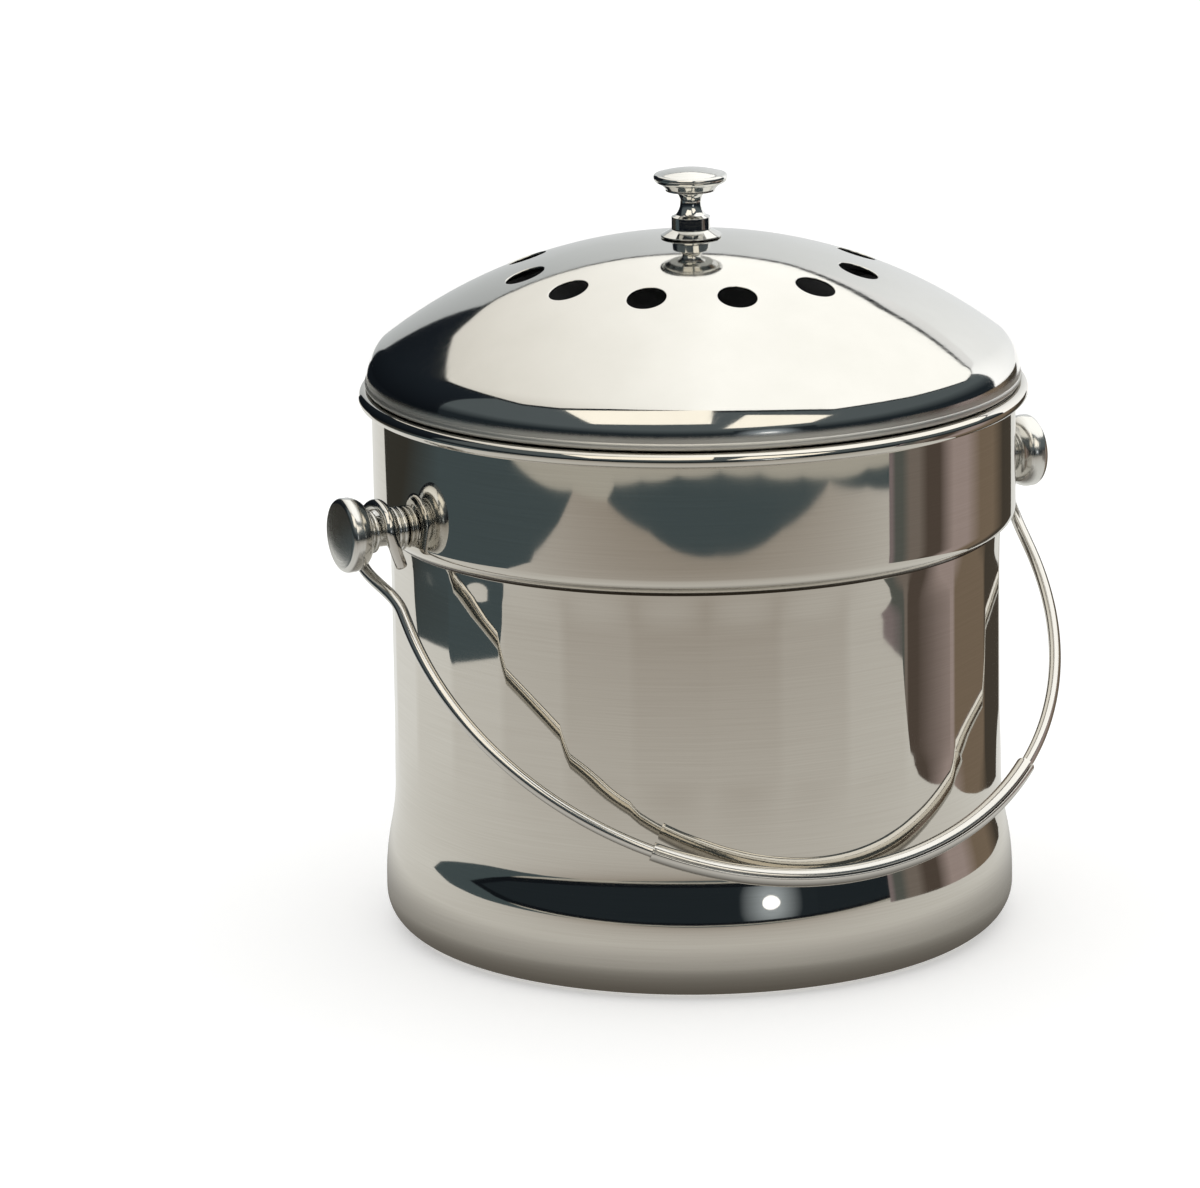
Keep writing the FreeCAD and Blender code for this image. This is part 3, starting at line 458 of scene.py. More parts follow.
def studProfile():
    # from the bore for the screw over the neck, the ridge and the waist to the rounded head
    hole, neck, groove, waist, head = (ear[name] for name in ("hole", "neck", "groove", "waist", "head"))
    ridgeHalf = ear["ridgeWidth"] / 2
    ridgeEnd = groove + ear["ridgeWidth"]
    flank = ear["ridge"] - ridgeHalf
    waistEnd = ridgeEnd + ear["waistWidth"]
    backEnd = waistEnd + ear["backLength"]
    rimEnd = backEnd + ear["headWidth"]
    face, faceRadius = rimEnd + ear["headRound"], head - ear["headRound"]
    crownCurve = (faceRadius ** 2 + ear["crown"] ** 2) / (2 * ear["crown"])
    corners = [(0, ear["boreDepth"]), (hole, ear["boreDepth"]), (hole, 0), (neck, 0), (neck, groove)]
    corners += [(flank, groove, ridgeHalf, "left"), (ear["ridge"], groove + ridgeHalf, ridgeHalf, "left")]
    corners += [(flank, ridgeEnd), (waist, ridgeEnd), (waist, waistEnd, ear["backRound"], "left")]
    corners += [(head, backEnd), (head, rimEnd, ear["headRound"], "left")]
    corners += [(faceRadius, face, crownCurve, "left"), (0, face + ear["crown"])]
    return soften(outline(corners, step=7, run=0.8), ear["edge"])


for side, sign in (("Left", -1), ("Right", 1)):
    for name, node, foot, profile, closed in (
        ("earCollar", "ear_collar_", collarFoot, collarProfile(), True),
        ("earStud", "ear_stud_", studFoot, studProfile(), False),
    ):
        outward = Matrix.Rotation(sign * pi / 2, 4, "Y")
        place = Matrix.Translation((sign * foot * mm, 0, earHeight * mm)) @ outward
        makePiece(name + side, "pail", steelSatin, "turned_steel", [node + side.lower()],
                  *lathe(profile, ear["columns"], closed), place=place)
print("ears at height", round(earHeight, 2))


# bail: bent wire and the rolled sleeve on its bow; a tip is rings of (way in from the end, share of width)

bail = {
    "wire": 1.75, "clearance": 1.35, "leg": 31.0, "offset": 5.0, "eyeClearance": 0.35, "flareLength": 25.0,
    "legFlare": 3.6, "legFoot": 3.0, "hookClearance": 1.85, "ease": 1.5, "hookSteps": 8, "tailLean": 18,
    "tailLength": 10.2, "tailSteps": 4, "restGap": 0.3, "sides": 28, "hookSpacing": 0.9, "bowSpacing": 1.6,
    "tip": [(0, 0.55), (0.05, 0.75), (0.2, 0.9), (0.45, 0.98), (0.75, 1)],
}
grip = {
    "radius": 2.7, "wall": 0.75, "length": 132.0, "shift": 8.0, "seamWidth": 0.55, "seamFacing": 34,
    "lip": 0.22, "lipTurns": (30, 60, 90), "sides": 48, "spacing": 1.2, "tip": [(0, 0.985), (0.12, 1)],
}
bailRadius = mouthRadius + 2 * pail["bead"] + bail["wire"] + bail["clearance"]
bailReach = bail["leg"] + bailRadius
bailFront = pail["bulgeRadius"] + bail["restGap"] + grip["radius"]
restAngle = asin(bailFront / hypot(bailReach, bail["offset"])) + atan(bail["offset"] / bailReach)
bailPlace = Matrix.Translation((0, 0, earHeight)) @ Matrix.Rotation(-restAngle, 4, "X")
eyeRadius = ear["neck"] + bail["eyeClearance"] + bail["wire"]
eyeOffset = studFoot + ear["groove"] / 2
hookRadius = ear["ridge"] + bail["wire"] + bail["hookClearance"]


def splineThrough(points, startWay, endWay, spacing):
    # cubic spline over chord lengths with set directions at both ends, sampled evenly
    spots = np.array(points, float)
    chords = np.linalg.norm(np.diff(spots, axis=0), axis=1)
    size = len(spots)
    matrix, target = np.zeros((size, size)), np.zeros((size, 3))
    matrix[0, 0] = matrix[-1, -1] = 1
    target[0], target[-1] = startWay, endWay
    for i in range(1, size - 1):
        before, after = chords[i - 1], chords[i]
        matrix[i, i - 1:i + 2] = 1 / before, 2 / before + 2 / after, 1 / after
        target[i] = 3 * ((spots[i] - spots[i - 1]) / before ** 2 + (spots[i + 1] - spots[i]) / after ** 2)
    slopes = np.linalg.solve(matrix, target)
    result = []
    for i, chord in enumerate(chords):
        for share in np.linspace(0, 1, max(3, ceil(chord / spacing)), endpoint=False):
            square, cube = share ** 2, share ** 3
            result.append(
                spots[i] * (2 * cube - 3 * square + 1) + slopes[i] * chord * (cube - 2 * square + share)
                + spots[i + 1] * (3 * square - 2 * cube) + slopes[i + 1] * chord * (cube - square)
            )
    return result + [spots[-1]]


def hangingSide(side):
    # from the foot of the leg round the hook to the tip of the tail
    wrap, lean = pi + restAngle, radians(bail["tailLean"])

    def onHook(share):
        ease = (1 - share) ** bail["ease"]
        radius = eyeRadius + (hookRadius - eyeRadius) * ease
        offset = eyeOffset + (bailRadius + bail["legFlare"] - eyeOffset) * ease * (1 - share)
        return side * offset, radius * cos(wrap * share), radius * sin(wrap * share)

    hook = [onHook(i / bail["hookSteps"]) for i in range(bail["hookSteps"] + 1)]
    tailWay = np.array((-side * sin(lean), sin(restAngle) * cos(lean), -cos(restAngle) * cos(lean)))
    leg = (side * bailRadius, bail["offset"], -bail["flareLength"])
    curve = splineThrough([leg, *hook], (0, 0, 1), tailWay, bail["hookSpacing"])
    tail = [tailWay * bail["tailLength"] * (i + 1) / bail["tailSteps"] for i in range(bail["tailSteps"])]
    return curve + [curve[-1] + way for way in tail]


def bowPoints(start, end, spacing):
    # along the half circle, by angle from its lowest point towards +X
    count = ceil(abs(end - start) * bailRadius / spacing)
    angles = [start + (end - start) * i / count for i in range(count + 1)]
    return [(bailRadius * sin(a), bail["offset"], -bail["leg"] - bailRadius * cos(a)) for a in angles]


def sweep(path, section, tip):
    # carries a closed section along a path without twist
    spots = [Vector(p) for p in path]
    before, after = [spots[0]] + spots[:-2] + [spots[-2]], spots[1:] + [spots[-1]]
    ways = [(b - a).normalized() for a, b in zip(before, after)]
    forward = Vector((0, -1, 0))
    across = forward - ways[0] * ways[0].dot(forward)
    points, rings = [], []
    for i, (spot, way) in enumerate(zip(spots, ways)):
        across = (across - way * across.dot(way)).normalized()
        beside = way.cross(across)
        rows = tip if i == 0 else [(0, 1)]
        if i == len(spots) - 1:
            rows = [(-move, scale) for move, scale in reversed(tip)]
        for move, scale in rows:
            start = len(points)
            points += [spot + way * move + (across * u + beside * v) * scale for u, v in section]
            rings.append(list(range(start, start + len(section))))
    return points, rings


def wrapRound(piece, rings):
    # a UV in metres: round the section, then along the length
    layer = piece.data.uv_layers.new(name="round")
    spots = [vertex.co for vertex in piece.data.vertices]
    width = len(rings[0])
    around = np.cumsum([(spots[rings[0][i]] - spots[rings[0][i - 1]]).length for i in range(width)])
    middles = [sum((spots[i] for i in ring), Vector()) / width for ring in rings]
    along = np.cumsum([0] + [(b - a).length for a, b in zip(middles, middles[1:])])
    for loop in piece.data.loops:
        row, column = divmod(loop.vertex_index, width)
        layer.data[loop.index].uv = (around[column], along[min(row, len(along) - 1)])


def makeWire():
    legFoot = -bail["leg"] + bail["legFoot"]
    bow = [(-bailRadius, bail["offset"], legFoot), *bowPoints(-pi / 2, pi / 2, bail["bowSpacing"])]
    bow += [(bailRadius, bail["offset"], legFoot)]
    path = hangingSide(-1)[::-1] + bow + hangingSide(1)
    angles = [2 * pi * i / bail["sides"] for i in range(bail["sides"])]
    section = [(bail["wire"] * cos(a), bail["wire"] * sin(a)) for a in angles]
    points, rings = sweep(path, section, bail["tip"])
    faces = stripFaces(rings) + [rings[0][::-1], rings[-1]]
    points = [bailPlace @ p for p in points]
    wrapRound(makePiece("bailWire", "bail", steelWire, "wire_steel", ["bail_wire"], points, faces), rings)


def gripSection():
    # a rolled strip: round outside, an open seam with turned-in lips on the side that faces forward
    outer, inner = grip["radius"], grip["radius"] - grip["wall"]
    half = asin((grip["seamWidth"] / 2 + grip["lip"]) / outer)
    facing = radians(grip["seamFacing"])
    span = 2 * (pi - half)
    turns = [facing + half + span * i / grip["sides"] for i in range(grip["sides"] + 1)]

    def lip(side):
        edge = facing + side * half
        base = Vector((cos(edge), sin(edge)))
        into = Vector((sin(edge), -cos(edge))) * side
        centre = base * (outer - grip["lip"])
        bend = [(cos(radians(t)), sin(radians(t))) for t in grip["lipTurns"]]
        spots = [centre + (base * u + into * v) * grip["lip"] for u, v in bend]
        return [tuple(spot) for spot in (*spots, base * inner + into * grip["lip"])]

    outside = [(outer * cos(a), outer * sin(a)) for a in turns]
    inside = [(inner * cos(a), inner * sin(a)) for a in turns[::-1]]
    return outside + lip(-1) + inside + lip(1)[::-1]


def makeGrip():
    half, sides = grip["length"] / 2, grip["sides"]
    start, end = -(half - grip["shift"]) / bailRadius, (half + grip["shift"]) / bailRadius
    points, rings = sweep(bowPoints(start, end, grip["spacing"]), gripSection(), grip["tip"])
    faces = stripFaces(rings)
    lipPoints = len(grip["lipTurns"]) + 1
    for ring in (rings[0], rings[-1]):
        outside = ring[:sides + 1]
        inside = ring[sides + 1 + lipPoints:-lipPoints][::-1]
        faces += [[outside[i], outside[i + 1], inside[i + 1], inside[i]] for i in range(sides)]
    points = [bailPlace @ p for p in points]
    wrapRound(makePiece("bailGrip", "bail", steelWire, "wire_steel", ["bail_grip"], points, faces), rings)


makeWire()
makeGrip()
print("bail hangs", round(degrees(restAngle), 2), "degrees forward")


# lid: dome with punched vents, tight edge, rolled hem; skirt inside

lid = {
    "seat": 158.5, "wall": 0.7, "overlap": 2.5, "height": 42.0, "knuckle": 12.2, "knuckleHeight": 3.0,
    "hem": 1.35, "hemStep": 0.35, "edge": 0.12, "knobHole": 2.15, "topRings": 16, "ventRing": 49.0,
    "vent": 5.5, "ventCount": 12, "ventTurn": 18.8, "ventLip": 0.28, "lipTurns": (0, 22, 45, 68, 90),
    "perVent": 24,  # columns of a vent's sector
    "ventLoops": (0, 0.2, 0.4, 0.6, 0.75, 0.87, 0.95),  # shares of the way from a sector's edge to its lip
    "skirtClearance": 1.0, "skirtDrop": 7.5, "skirtGap": 0.05, "skirtEdge": 0.3, "skirtColumns": 288,
}
lidRadius = mouthRadius + lid["overlap"]
domeOutside = lidRadius - lid["hemStep"]
knuckleMiddle = domeOutside - lid["knuckle"]
knuckleRise = lid["height"] - lid["knuckleHeight"]
knuckleReach = knuckleMiddle ** 2 + knuckleRise ** 2 - lid["knuckle"] ** 2
crownRadius = knuckleReach / (2 * (knuckleRise - lid["knuckle"]))
crownMiddle = lid["height"] - crownRadius
steelMirror = mirrorStainless(lid["seat"])


def onDome(x, y, depth):
    # a point of the crown over (x, y), sunk square to the surface
    normal = Vector((x, y, sqrt(crownRadius ** 2 - x * x - y * y)))
    return Vector((0, 0, crownMiddle)) + normal * (1 - depth / crownRadius)


def ventSector(angle, inner, outer):
    # a round hole in a sector of the dome: loops run from the sector's edge over the lip and back inside
    count, lip, wall = lid["perVent"], lid["ventLip"], lid["wall"]
    wide = pi / lid["ventCount"]
    shares = [i / count for i in range(count)]
    edge = [(outer, angle - wide + 2 * wide * s) for s in shares]
    edge += [(outer + (inner - outer) * s, angle + wide) for s in shares]
    edge += [(inner, angle + wide - 2 * wide * s) for s in shares]
    edge += [(inner + (outer - inner) * s, angle - wide) for s in shares]
    border = [Vector((r * cos(a), r * sin(a))) for r, a in edge]
    middle = Vector((lid["ventRing"] * cos(angle), lid["ventRing"] * sin(angle)))
    bend = [radians(t) for t in lid["lipTurns"]]
    loops = [("between", share, 0) for share in lid["ventLoops"]]
    loops += [("round", lip * (1 - sin(t)), lip * (1 - cos(t))) for t in bend]
    loops += [("round", lip * (1 - sin(t)), wall - lip * (1 - cos(t))) for t in bend[::-1]]
    loops += [("between", share, wall) for share in lid["ventLoops"][::-1]]
    points, rings = [], []
    for kind, share, depth in loops:
        start = len(points)
        for spot in border:
            way = (spot - middle).normalized()
            rim = middle + way * (lid["vent"] + lip)
            at = spot.lerp(rim, share) if kind == "between" else middle + way * (lid["vent"] + share)
            points.append(onDome(at.x, at.y, depth))
        rings.append(list(range(start, start + len(border))))
    return points, stripFaces(rings)


def domeEdge(start):
    # profile from the vents' outer edge over the knuckle and round the hem, back to the same radius inside
    wall, hem, knuckle, knuckleHeight = (lid[name] for name in ("wall", "hem", "knuckle", "knuckleHeight"))
    inside = domeOutside - wall
    hemMiddle = lidRadius - hem

    def tangent(inset):
        reach = (crownRadius - inset) / (crownRadius - knuckle)
        return knuckleMiddle * reach, crownMiddle + (knuckleHeight - crownMiddle) * reach

    def hemTop(radius):
        return hem + sqrt(hem ** 2 - (radius - hemMiddle) ** 2)

    outer, inner = onDome(start, 0, 0), onDome(start, 0, wall)
    corners = [(outer.x, outer.z, crownRadius, "right"), (*tangent(0), knuckle, "right")]
    corners += [(domeOutside, knuckleHeight), (domeOutside, hemTop(domeOutside), hem, "right")]
    corners += [(lidRadius, hem, hem, "right"), (hemMiddle, 0, hem, "right")]
    corners += [(hemMiddle - hem, hem, hem, "right"), (inside, hemTop(inside))]
    corners += [(inside, knuckleHeight, knuckle - wall, "left")]
    corners += [(*tangent(wall), crownRadius - wall, "left"), (inner.x, inner.z)]
    return soften(outline(corners, step=2.5, run=1.0), lid["edge"])


def domeTop(end):
    # profile of the crown inside the vents' ring, with the hole for the knob's screw
    radii = np.linspace(end, lid["knobHole"], lid["topRings"] + 1)
    spots = [onDome(r, 0, 0) for r in radii] + [onDome(r, 0, lid["wall"]) for r in radii[::-1]]
    return [(spot.x, spot.z) for spot in spots]


def makeDome():
    wide = pi / lid["ventCount"]
    half = lid["ventRing"] * sin(wide)
    inner, outer = lid["ventRing"] - half, lid["ventRing"] + half
    columns = lid["ventCount"] * lid["perVent"]
    first = radians(lid["ventTurn"])
    pieces = [lathe(profile, columns, first=first - wide) for profile in (domeTop(inner), domeEdge(outer))]
    pieces += [ventSector(first + 2 * wide * k, inner, outer) for k in range(lid["ventCount"])]
    points, faces = [], []
    for more, strips in pieces:
        start = len(points)
        points += [Vector(p) + Vector((0, 0, lid["seat"])) for p in more]
        faces += [[start + i for i in face] for face in strips]
    return makePiece("lidDome", "lid", steelMirror, "mirror_steel", ["lid_dome"], points, faces)


def skirtProfile():
    outside = mouthRadius - lid["skirtClearance"]
    inside = outside - lid["wall"]
    reach = lid["knuckle"] - lid["wall"] - lid["skirtGap"]
    low, middle = lid["seat"] - lid["skirtDrop"], lid["seat"] + lid["knuckleHeight"]
    tops = [(r, middle + sqrt(reach ** 2 - (r - knuckleMiddle) ** 2)) for r in (outside, inside)]
    corners = [(inside, low), (outside, low), *tops]
    return soften(outline(corners, closed=True), lid["skirtEdge"], closed=True)


dome = makeDome()
makePiece("lidSkirt", "lid", steelSheet, "polished_steel", ["lid_skirt"],
          *lathe(skirtProfile(), lid["skirtColumns"], True))
print("lid:", lid["ventCount"], "vents,", len(dome.data.vertices), "points")


# knob and its flange

knob = {
    "gap": 0.05, "hole": 2.15, "flange": 8.7, "flangeEdge": 0.3, "flangeHeight": 2.0, "collar": 5.6,
    "collarLength": 3.5, "throat": 4.3, "throatLength": 0.6, "neck": 3.0, "neckLength": 3.6, "flare": 4.6,
    "flareLength": 3.3, "step": 7.2, "stepLength": 0.6, "cupLength": 1.6, "head": 10.6, "rim": 1.8,
    "brim": 0.9, "crown": 1.5, "bore": 7.05, "columns": 96, "edge": 0.15,
}
domeTopHeight = lid["seat"] + lid["height"]


def flangeProfile():
    low, high = knob["gap"], knob["gap"] + knob["flangeHeight"]
    corners = [(knob["hole"], low), (knob["flange"], low), (knob["flange"], low + knob["flangeEdge"])]
    corners += [(knob["collar"], high), (knob["hole"], high)]
    return soften(outline(corners, run=0.8, closed=True), knob["edge"], closed=True)


def knobProfile():
    # from the bore for the screw over the collar, the hollow neck and the step to the thick rounded head
    hole, collar, throat, neck = (knob[name] for name in ("hole", "collar", "throat", "neck"))
    flare, step, head, rim, brim = (knob[name] for name in ("flare", "step", "head", "rim", "brim"))
    foot = 2 * knob["gap"] + knob["flangeHeight"]
    boreEnd = foot + knob["bore"]
    collarTop = foot + knob["collarLength"]
    throatTop = collarTop + knob["throatLength"]
    neckHeight = throatTop + knob["neckLength"]
    stepFoot = neckHeight + knob["flareLength"]
    stepEnd = stepFoot + knob["stepLength"]
    cupEnd = stepEnd + knob["cupLength"]
    rimHeight = cupEnd + rim
    brimTop = rimHeight + brim
    face = head - brim
    crownCurve = (face ** 2 + knob["crown"] ** 2) / (2 * knob["crown"])

    def neckCurve(radius, height):
        return ((radius - neck) ** 2 + (height - neckHeight) ** 2) / (2 * (radius - neck))

    corners = [(0, boreEnd), (hole, boreEnd), (hole, foot), (collar, foot), (collar, collarTop)]
    corners += [(throat, throatTop, neckCurve(throat, throatTop), "right")]
    corners += [(neck, neckHeight, neckCurve(flare, stepFoot), "right"), (flare, stepFoot)]
    corners += [(step, stepFoot), (step, stepEnd), (head - rim, cupEnd, rim, "left")]
    corners += [(head, rimHeight, brim, "left"), (face, brimTop, crownCurve, "left")]
    corners += [(0, brimTop + knob["crown"])]
    return soften(outline(corners, step=7, run=0.8), knob["edge"])


knobPlace = Matrix.Translation((0, 0, domeTopHeight * mm))
makePiece("knobFlange", "lid", steelBuffed, "turned_steel", ["knob_flange"],
          *lathe(flangeProfile(), knob["columns"], True), place=knobPlace)
makePiece("lidKnob", "lid", steelBuffed, "turned_steel", ["lid_knob"],
          *lathe(knobProfile(), knob["columns"]), place=knobPlace)
print("knob on the dome at", domeTopHeight)


# charcoal pads: crowned felt discs that fill their CAD space

pad = {
    "edge": 1.6, "crown": 0.35, "lump": 9.0, "lumpHeight": 0.18, "lumpApart": 30, "thinnest": 0.05,
    "columns": 128, "rings": 26, "fill": 0.5,
}


def padMesh(low, high):
    radius = (high.x - low.x) / 2 / mm
    bottom, top = low.z / mm, high.z / mm
    middle, half = (bottom + top) / 2, (top - bottom) / 2

    def height(x, y, sign):
        r = hypot(x, y)
        inset = max(0, r - radius + pad["edge"]) / pad["edge"]
        drop = pad["crown"] * (r / radius) ** 2
        drop += (half - 2 * pad["crown"]) * (1 - sqrt(max(0, 1 - inset ** 2)))
        spot = Vector((x, y, sign * pad["lumpApart"])) / pad["lump"]
        drop += pad["lumpHeight"] * (0.5 + 0.5 * noise.noise(spot))
        return middle + sign * max(pad["thinnest"], half - drop)

    radii = [radius * sin(pi / 2 * i / pad["rings"]) for i in range(pad["rings"] + 1)]
    faced = [(r, 1) for r in radii] + [(r, -1) for r in radii[::-1]]
    points, faces = lathe(faced, pad["columns"])
    return [(x, y, height(x, y, sign)) for x, y, sign in points], faces


for name, node in (("padUpper", "charcoal_filter_upper"), ("padLower", "charcoal_filter_lower")):
    piece = makePiece(name, "filter_holder", blackFelt, "charcoal_felt", [node], *padMesh(*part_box(node)))

fasteners = ["ear_washer_left", "ear_washer_right", "ear_screw_left", "ear_screw_right"]
fasteners += ["knob_washer", "knob_screw"]
for nodes, material in ((fasteners, steelScrew), (["filter_frame", "filter_grille"], blackPlastic)):
    for name in nodes:
        frame["nodes"][name].data.materials.clear()
        frame["nodes"][name].data.materials.append(material)
print("filter dressed")


# camera, from the pixel that the middle of the pail takes in the photograph; its focal length in such pixels

view = {
    "width": 1200, "height": 1188, "focal": 6500, "distance": 1883, "aimHeight": 80, "azimuth": -26.2,
    "elevation": 14.55, "roll": -0.745, "aimPixel": (696.44, 644.43), "sensor": 36,
}


def makeCamera():
    azimuth, elevation = radians(view["azimuth"]), radians(view["elevation"])
    back = Vector((sin(azimuth) * cos(elevation), -cos(azimuth) * cos(elevation), sin(elevation)))
    right = Vector((cos(azimuth), sin(azimuth), 0))
    turn = Matrix((right, back.cross(right), back)).transposed()
    aside = atan((view["aimPixel"][0] - view["width"] / 2) / view["focal"])
    below = atan((view["aimPixel"][1] - view["height"] / 2) / view["focal"])
    turn = turn @ Matrix.Rotation(radians(view["roll"]), 3, "Z")
    turn = turn @ Matrix.Rotation(below, 3, "X") @ Matrix.Rotation(aside, 3, "Y")
    data = bpy.data.cameras.new("camera")
    data.sensor_width = view["sensor"]
    data.lens = view["focal"] / view["width"] * view["sensor"]
    camera = bpy.data.objects.new("camera", data)
    spot = Vector((0, 0, view["aimHeight"])) + back * view["distance"]
    camera.matrix_world = Matrix.Translation(spot * mm) @ turn.to_4x4()
    bpy.context.scene.collection.objects.link(camera)
    bpy.context.scene.camera = camera


makeCamera()


# studio: white floor and world; the cards and panels below are seen by shiny metal only

studio = {
    "floorSize": 9000, "floorColour": "#f2f2f1", "floorLift": 0.36, "worldFill": 0.85,
    "panelHeight": 1170, "panelRim": 110, "panelApart": 2, "roomRadius": 3300, "roomTurn": (-160, 128),
    "roomCorner": -98, "rearTop": 30, "tableBack": -700, "tableRight": 760, "tableLeft": -1300,
    "shelfReach": 900, "shelfSteps": 40,
    "shadeReach": (84, 172), "shadeColour": "#57524b", "shadePower": 1.6, "shadeSteps": 64,
}
layers = {"darkFloor": 0.3, "shelf": 0.4, "gap": 0.5, "table": 0.6, "shade": 0.7}  # heights of the flat cards
lamp = {
    "turn": 25.5, "rise": 5.3, "size": (185, 88), "steps": 24, "apart": 40, "glow": (190, 660),
    "wallTurn": (-12, 17), "wallTop": 14,
}
rack = {
    "front": (186, 416), "back": (-125, 150), "foot": 0.8, "height": 153, "fade": (0.1, 0.6),
    "strips": [  # where each starts, as a share of the way to the back, and its colour
        (0, "#857a7b"), (0.1, "#5d605c"), (0.27, "#7d746d"), (0.42, "#574d46"),
        (0.6, "#a89995"), (0.76, "#7f7060"), (0.92, "#48423a"),
    ],
}


def glowing(name, colour, faded=None, axis="X", span=(0, 1), middle=None):
    # an even glow, or one that runs from the first colour to the second, both (hex, strength),
    # over a span of the card or over a span of millimetres away from a middle
    material, tree, shader = newMaterial(name)
    tree.nodes.remove(shader)
    light = {"Color": linear(colour[0]), "Strength": colour[1]}
    if faded:
        spots = addNode(tree, "TexCoord", {})
        if middle:
            ends = {0: spots["Object"], 1: middle * mm}
            across = addNode(tree, "VectorMath", ends, operation="DISTANCE")["Value"]
            span = [size * mm for size in span]
        else:
            across = addNode(tree, "SeparateXYZ", {"Vector": spots["Generated"]})[axis]
        low, high = span
        share = addNode(tree, "MapRange", {"Value": across, "From Min": low, "From Max": high})["Result"]
        near, far = linear(colour[0]), linear(faded[0])
        tint = addNode(tree, "MixRGB", {"Fac": share, "Color1": near, "Color2": far})["Color"]
        level = addNode(tree, "MapRange", {"Value": share, "To Min": colour[1], "To Max": faded[1]})["Result"]
        light = {"Color": tint, "Strength": level}
    glow = addNode(tree, "Emission", light)["Emission"]
    tree.links.new(glow, tree.nodes["Material Output"].inputs["Surface"])
    return material


def addCard(name, points, faces, material):
    # points are (towards the camera, to its right, up), in millimetres from the middle of the base
    mesh = bpy.data.meshes.new(name)
    mesh.from_pydata([Vector(p) * mm for p in points], [], faces)
    mesh.materials.append(material)
    card = bpy.data.objects.new(name, mesh)
    card.matrix_world = Matrix.Rotation(radians(view["azimuth"]) - pi / 2, 4, "Z")
    bpy.context.scene.collection.objects.link(card)
    for seenBy in ("camera", "diffuse", "transmission", "volume_scatter", "shadow"):
        setattr(card, "visible_" + seenBy, False)


def flatCard(name, corners, height, material):
    addCard(name, [(*corner, height) for corner in corners], [list(range(len(corners)))], material)


def curvedCard(name, turn, rise, radius, material, rows=24, columns=72):
    # part of a sphere round the pail; turn from the camera's side to its right, rise from the floor
    points = []
    for j in range(rows + 1):
        up = radians(rise[0] + (rise[1] - rise[0]) * j / rows)
        for i in range(columns + 1):
            a = radians(turn[0] + (turn[1] - turn[0]) * i / columns)
            points.append((radius * cos(up) * cos(a), radius * cos(up) * sin(a), radius * sin(up)))
    width = columns + 1
    starts = [j * width + i for j in range(rows) for i in range(columns)]
    addCard(name, points, [[k, k + 1, k + width + 1, k + width] for k in starts], material)


def grown(corners, amount):
    # the same outline, moved outward from its middle
    middle = sum((Vector(c) for c in corners), Vector((0, 0))) / len(corners)
    return [tuple(Vector(c) + (Vector(c) - middle).normalized() * amount) for c in corners]


def makePanels():
    # a large silk panel with a dark frame above, two small ones in front
    height, apart = studio["panelHeight"], studio["panelApart"]
    panel = [(160, -900), (350, -700), (370, -370), (500, 110), (630, 990), (-40, 1600), (-1160, 2100)]
    panel += [(-1310, 1730), (-1290, 1000), (-1360, 620), (-1790, 320), (-1870, 0), (-2010, -450)]
    panel += [(-2030, -720), (-1600, -880)]
    left = [(470, -740), (470, 90), (1720, 190), (1800, -1320)]
    right = [(830, 340), (1150, 1440), (6400, 4200), (3200, 590)]
    silk = glowing("panelSilk", ("#faf6ee", 0.96), ("#fffefa", 1.42), axis="Y", span=(0.03, 0.33))
    dark = glowing("panelFrame", ("#23282c", 1))
    warm = glowing("smallSilk", ("#fff8ea", 1.42))
    flatCard("lightPanel", panel, height, silk)
    flatCard("panelRim", grown(panel, studio["panelRim"]), height + apart, dark)
    flatCard("smallPanelLeft", left, height - apart, warm)
    flatCard("smallPanelRight", right, height - apart, warm)


def makeRoom():
    # dark at the left, greyer in front, a pale sweep behind
    radius, corner = studio["roomRadius"], studio["roomCorner"]
    start, end = studio["roomTurn"]
    cloth = glowing("roomCloth", ("#11151a", 1), ("#262d34", 1), axis="Z")
    wall = glowing("roomWall", ("#242b30", 1), ("#5c6467", 1), axis="Z", span=(0.12, 0.32))
    paper = glowing("sweepPaper", ("#dfe3e4", 0.66), ("#ffffff", 1.45), axis="Y")
    curvedCard("leftRoom", (start, corner), (0, 90), radius, cloth)
    curvedCard("frontRoom", (corner, end), (0, 90), radius, wall)
    curvedCard("paleSweep", (end, start + 360), (0, studio["rearTop"]), radius, paper)


def makeLamp():
    # one lamp far in front, and the wall behind it with its glow
    radius = studio["roomRadius"]
    reach = radius - 2 * lamp["apart"]
    wide, high = (degrees(size / radius) for size in lamp["size"])
    spots = []
    for i in range(lamp["steps"]):
        around = 2 * pi * i / lamp["steps"]
        turn = radians(lamp["turn"] + wide * cos(around))
        rise = radians(lamp["rise"] + high * sin(around))
        spots.append((reach * cos(turn), reach * sin(turn), reach * sin(rise)))
    middle = sum((Vector(spot) for spot in spots), Vector()) / len(spots)
    paint = glowing("lampWallPaint", ("#a4adb3", 1), ("#262d32", 1), span=lamp["glow"], middle=middle)
    wallTurn = [lamp["turn"] + turn for turn in lamp["wallTurn"]]
    curvedCard("lampWall", wallTurn, (0, lamp["wallTop"]), radius - lamp["apart"], paint)
    addCard("frontLamp", spots, [list(range(len(spots)))], glowing("lampGlass", ("#ffffff", 1.9)))


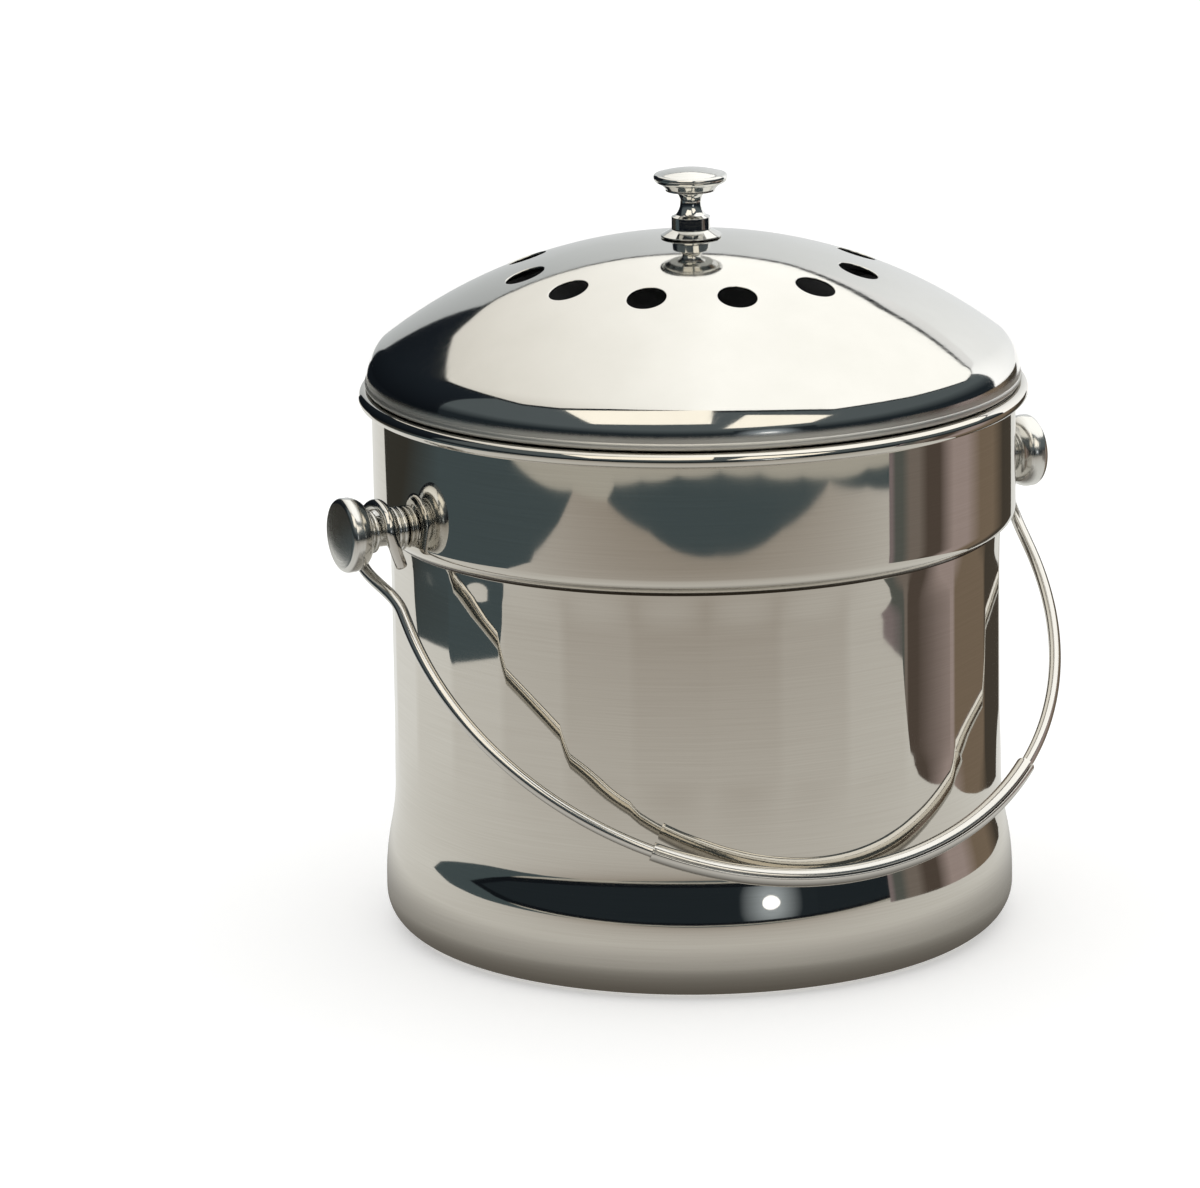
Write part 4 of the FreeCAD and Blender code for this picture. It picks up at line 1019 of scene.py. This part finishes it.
def makeTable():
    # a table top that is paler near the pail and behind it; dark gaps past its front and left edges, then a
    # pale shelf and a dark floor
    back, right, left = studio["tableBack"], studio["tableRight"], studio["tableLeft"]
    frontEdge = [(210, 650), (350, 600), (500, 510), (570, 310), (610, 80), (620, -60), (630, -170)]
    frontEdge += [(610, -340)]
    leftEdge = [(540, -460), (450, -470), (350, -490), (230, -470), (100, -420), (-80, -390), (-370, -380)]
    leftEdge += [(back, -560)]
    farEdge = [(650, -320), (700, -220), (740, -70), (740, 110), (690, 270), (590, 430), (500, 520)]
    farEdge += [(360, 630), (230, 690)]
    asideEdge = [(440, -560), (380, -620), (330, -670), (240, left), (back, left)]
    linen = glowing("tableLinen", ("#e8e8e4", 1), ("#a49c92", 1), axis="X", span=(0.41, 0.99))
    shade = glowing("gapShade", ("#3a3934", 1), ("#4a565a", 1), axis="X", span=(0.3, 0.5))
    flatCard("tableTop", [(back, right), *frontEdge, *leftEdge], layers["table"], linen)
    flatCard("frontGap", frontEdge + farEdge, layers["gap"], glowing("gapPaint", ("#4a565a", 1)))
    flatCard("leftGap", leftEdge + asideEdge[::-1], layers["gap"], shade)
    turns = [radians(turn) for turn in np.linspace(*studio["roomTurn"], studio["shelfSteps"] + 1)]
    for name, radius, colour in (
        ("shelf", studio["shelfReach"], "#b9b6ac"),
        ("darkFloor", studio["roomRadius"], "#15191e"),
    ):
        rim = [(radius * cos(a), radius * sin(a)) for a in turns]
        flatCard(name, [(0, 0), *rim], layers[name], glowing(name + "Paint", (colour, 1)))


def makeShade():
    # the pail's own shade on the table, darkest under the bulge
    near, far = studio["shadeReach"]
    shade = glowing("baseShade", (studio["shadeColour"], 1))
    tree = shade.node_tree
    place = addNode(tree, "TexCoord", {})["Object"]
    reach = addNode(tree, "VectorMath", {0: place}, operation="LENGTH")["Value"]
    spans = {"From Min": near * mm, "From Max": far * mm, "To Min": 1, "To Max": 0}
    depth = addNode(tree, "MapRange", {"Value": reach, **spans})["Result"]
    depth = addNode(tree, "Math", {0: depth, 1: studio["shadePower"]}, operation="POWER")["Value"]
    clear = addNode(tree, "BsdfTransparent", {})["BSDF"]
    glow = tree.nodes["Emission"].outputs["Emission"]
    mixed = addNode(tree, "MixShader", {"Fac": depth, 1: clear, 2: glow})["Shader"]
    tree.links.new(mixed, tree.nodes["Material Output"].inputs["Surface"])
    turns = [2 * pi * i / studio["shadeSteps"] for i in range(studio["shadeSteps"])]
    flatCard("baseShade", [(far * cos(a), far * sin(a)) for a in turns], layers["shade"], shade)


def makeRack():
    # strips of mauve and brown cloth that stand at the right, each fading into the next
    front, back = Vector(rack["front"]), Vector(rack["back"])
    after = rack["strips"][1:] + [(1, rack["strips"][-1][1])]
    for k, ((start, colour), (end, nextColour)) in enumerate(zip(rack["strips"], after)):
        feet = [front.lerp(back, share) for share in (start, end)]
        points = [(*foot, height) for height in (rack["foot"], rack["height"]) for foot in feet]
        cloth = glowing(f"rackCloth{k}", (nextColour, 1), (colour, 1), axis="X", span=rack["fade"])
        addCard(f"rackStrip{k}", points, [[0, 1, 3, 2]], cloth)


def backgroundLevel(tree, lower, upper):
    # upper for what the camera, mirrors and glass see, lower for the light that falls on things
    path = addNode(tree, "LightPath", {})
    seen = path["Is Camera Ray"]
    for kind in ("Is Glossy Ray", "Is Transmission Ray"):
        seen = addNode(tree, "Math", {0: seen, 1: path[kind]}, operation="MAXIMUM")["Value"]
    return addNode(tree, "MapRange", {"Value": seen, "To Min": lower, "To Max": upper})["Result"]


def makeFloor():
    size = studio["floorSize"] / 2 * mm
    mesh = bpy.data.meshes.new("floor")
    corners = [(-size, -size, 0), (size, -size, 0), (size, size, 0), (-size, size, 0)]
    mesh.from_pydata(corners, [], [[0, 1, 2, 3]])
    material, tree, shader = newMaterial("whitePaper")
    shader.inputs["Base Color"].default_value = linear(studio["floorColour"])
    shader.inputs["Roughness"].default_value = 0.9
    shader.inputs["Emission Color"].default_value = (1, 1, 1, 1)
    tree.links.new(backgroundLevel(tree, 0, studio["floorLift"]), shader.inputs["Emission Strength"])
    mesh.materials.append(material)
    floor = bpy.data.objects.new("floor", mesh)
    bpy.context.scene.collection.objects.link(floor)


def makeWorld():
    world = bpy.data.worlds.new("studio")
    bpy.context.scene.world = world
    world.use_nodes = True
    background = world.node_tree.nodes["Background"]
    background.inputs["Color"].default_value = (1, 1, 1, 1)
    level = backgroundLevel(world.node_tree, studio["worldFill"], 1)
    world.node_tree.links.new(level, background.inputs["Strength"])


makePanels()
makeRoom()
makeLamp()
makeTable()
makeShade()
makeRack()
makeFloor()
makeWorld()
bpy.context.scene.view_settings.view_transform = "Standard"
print("studio set")
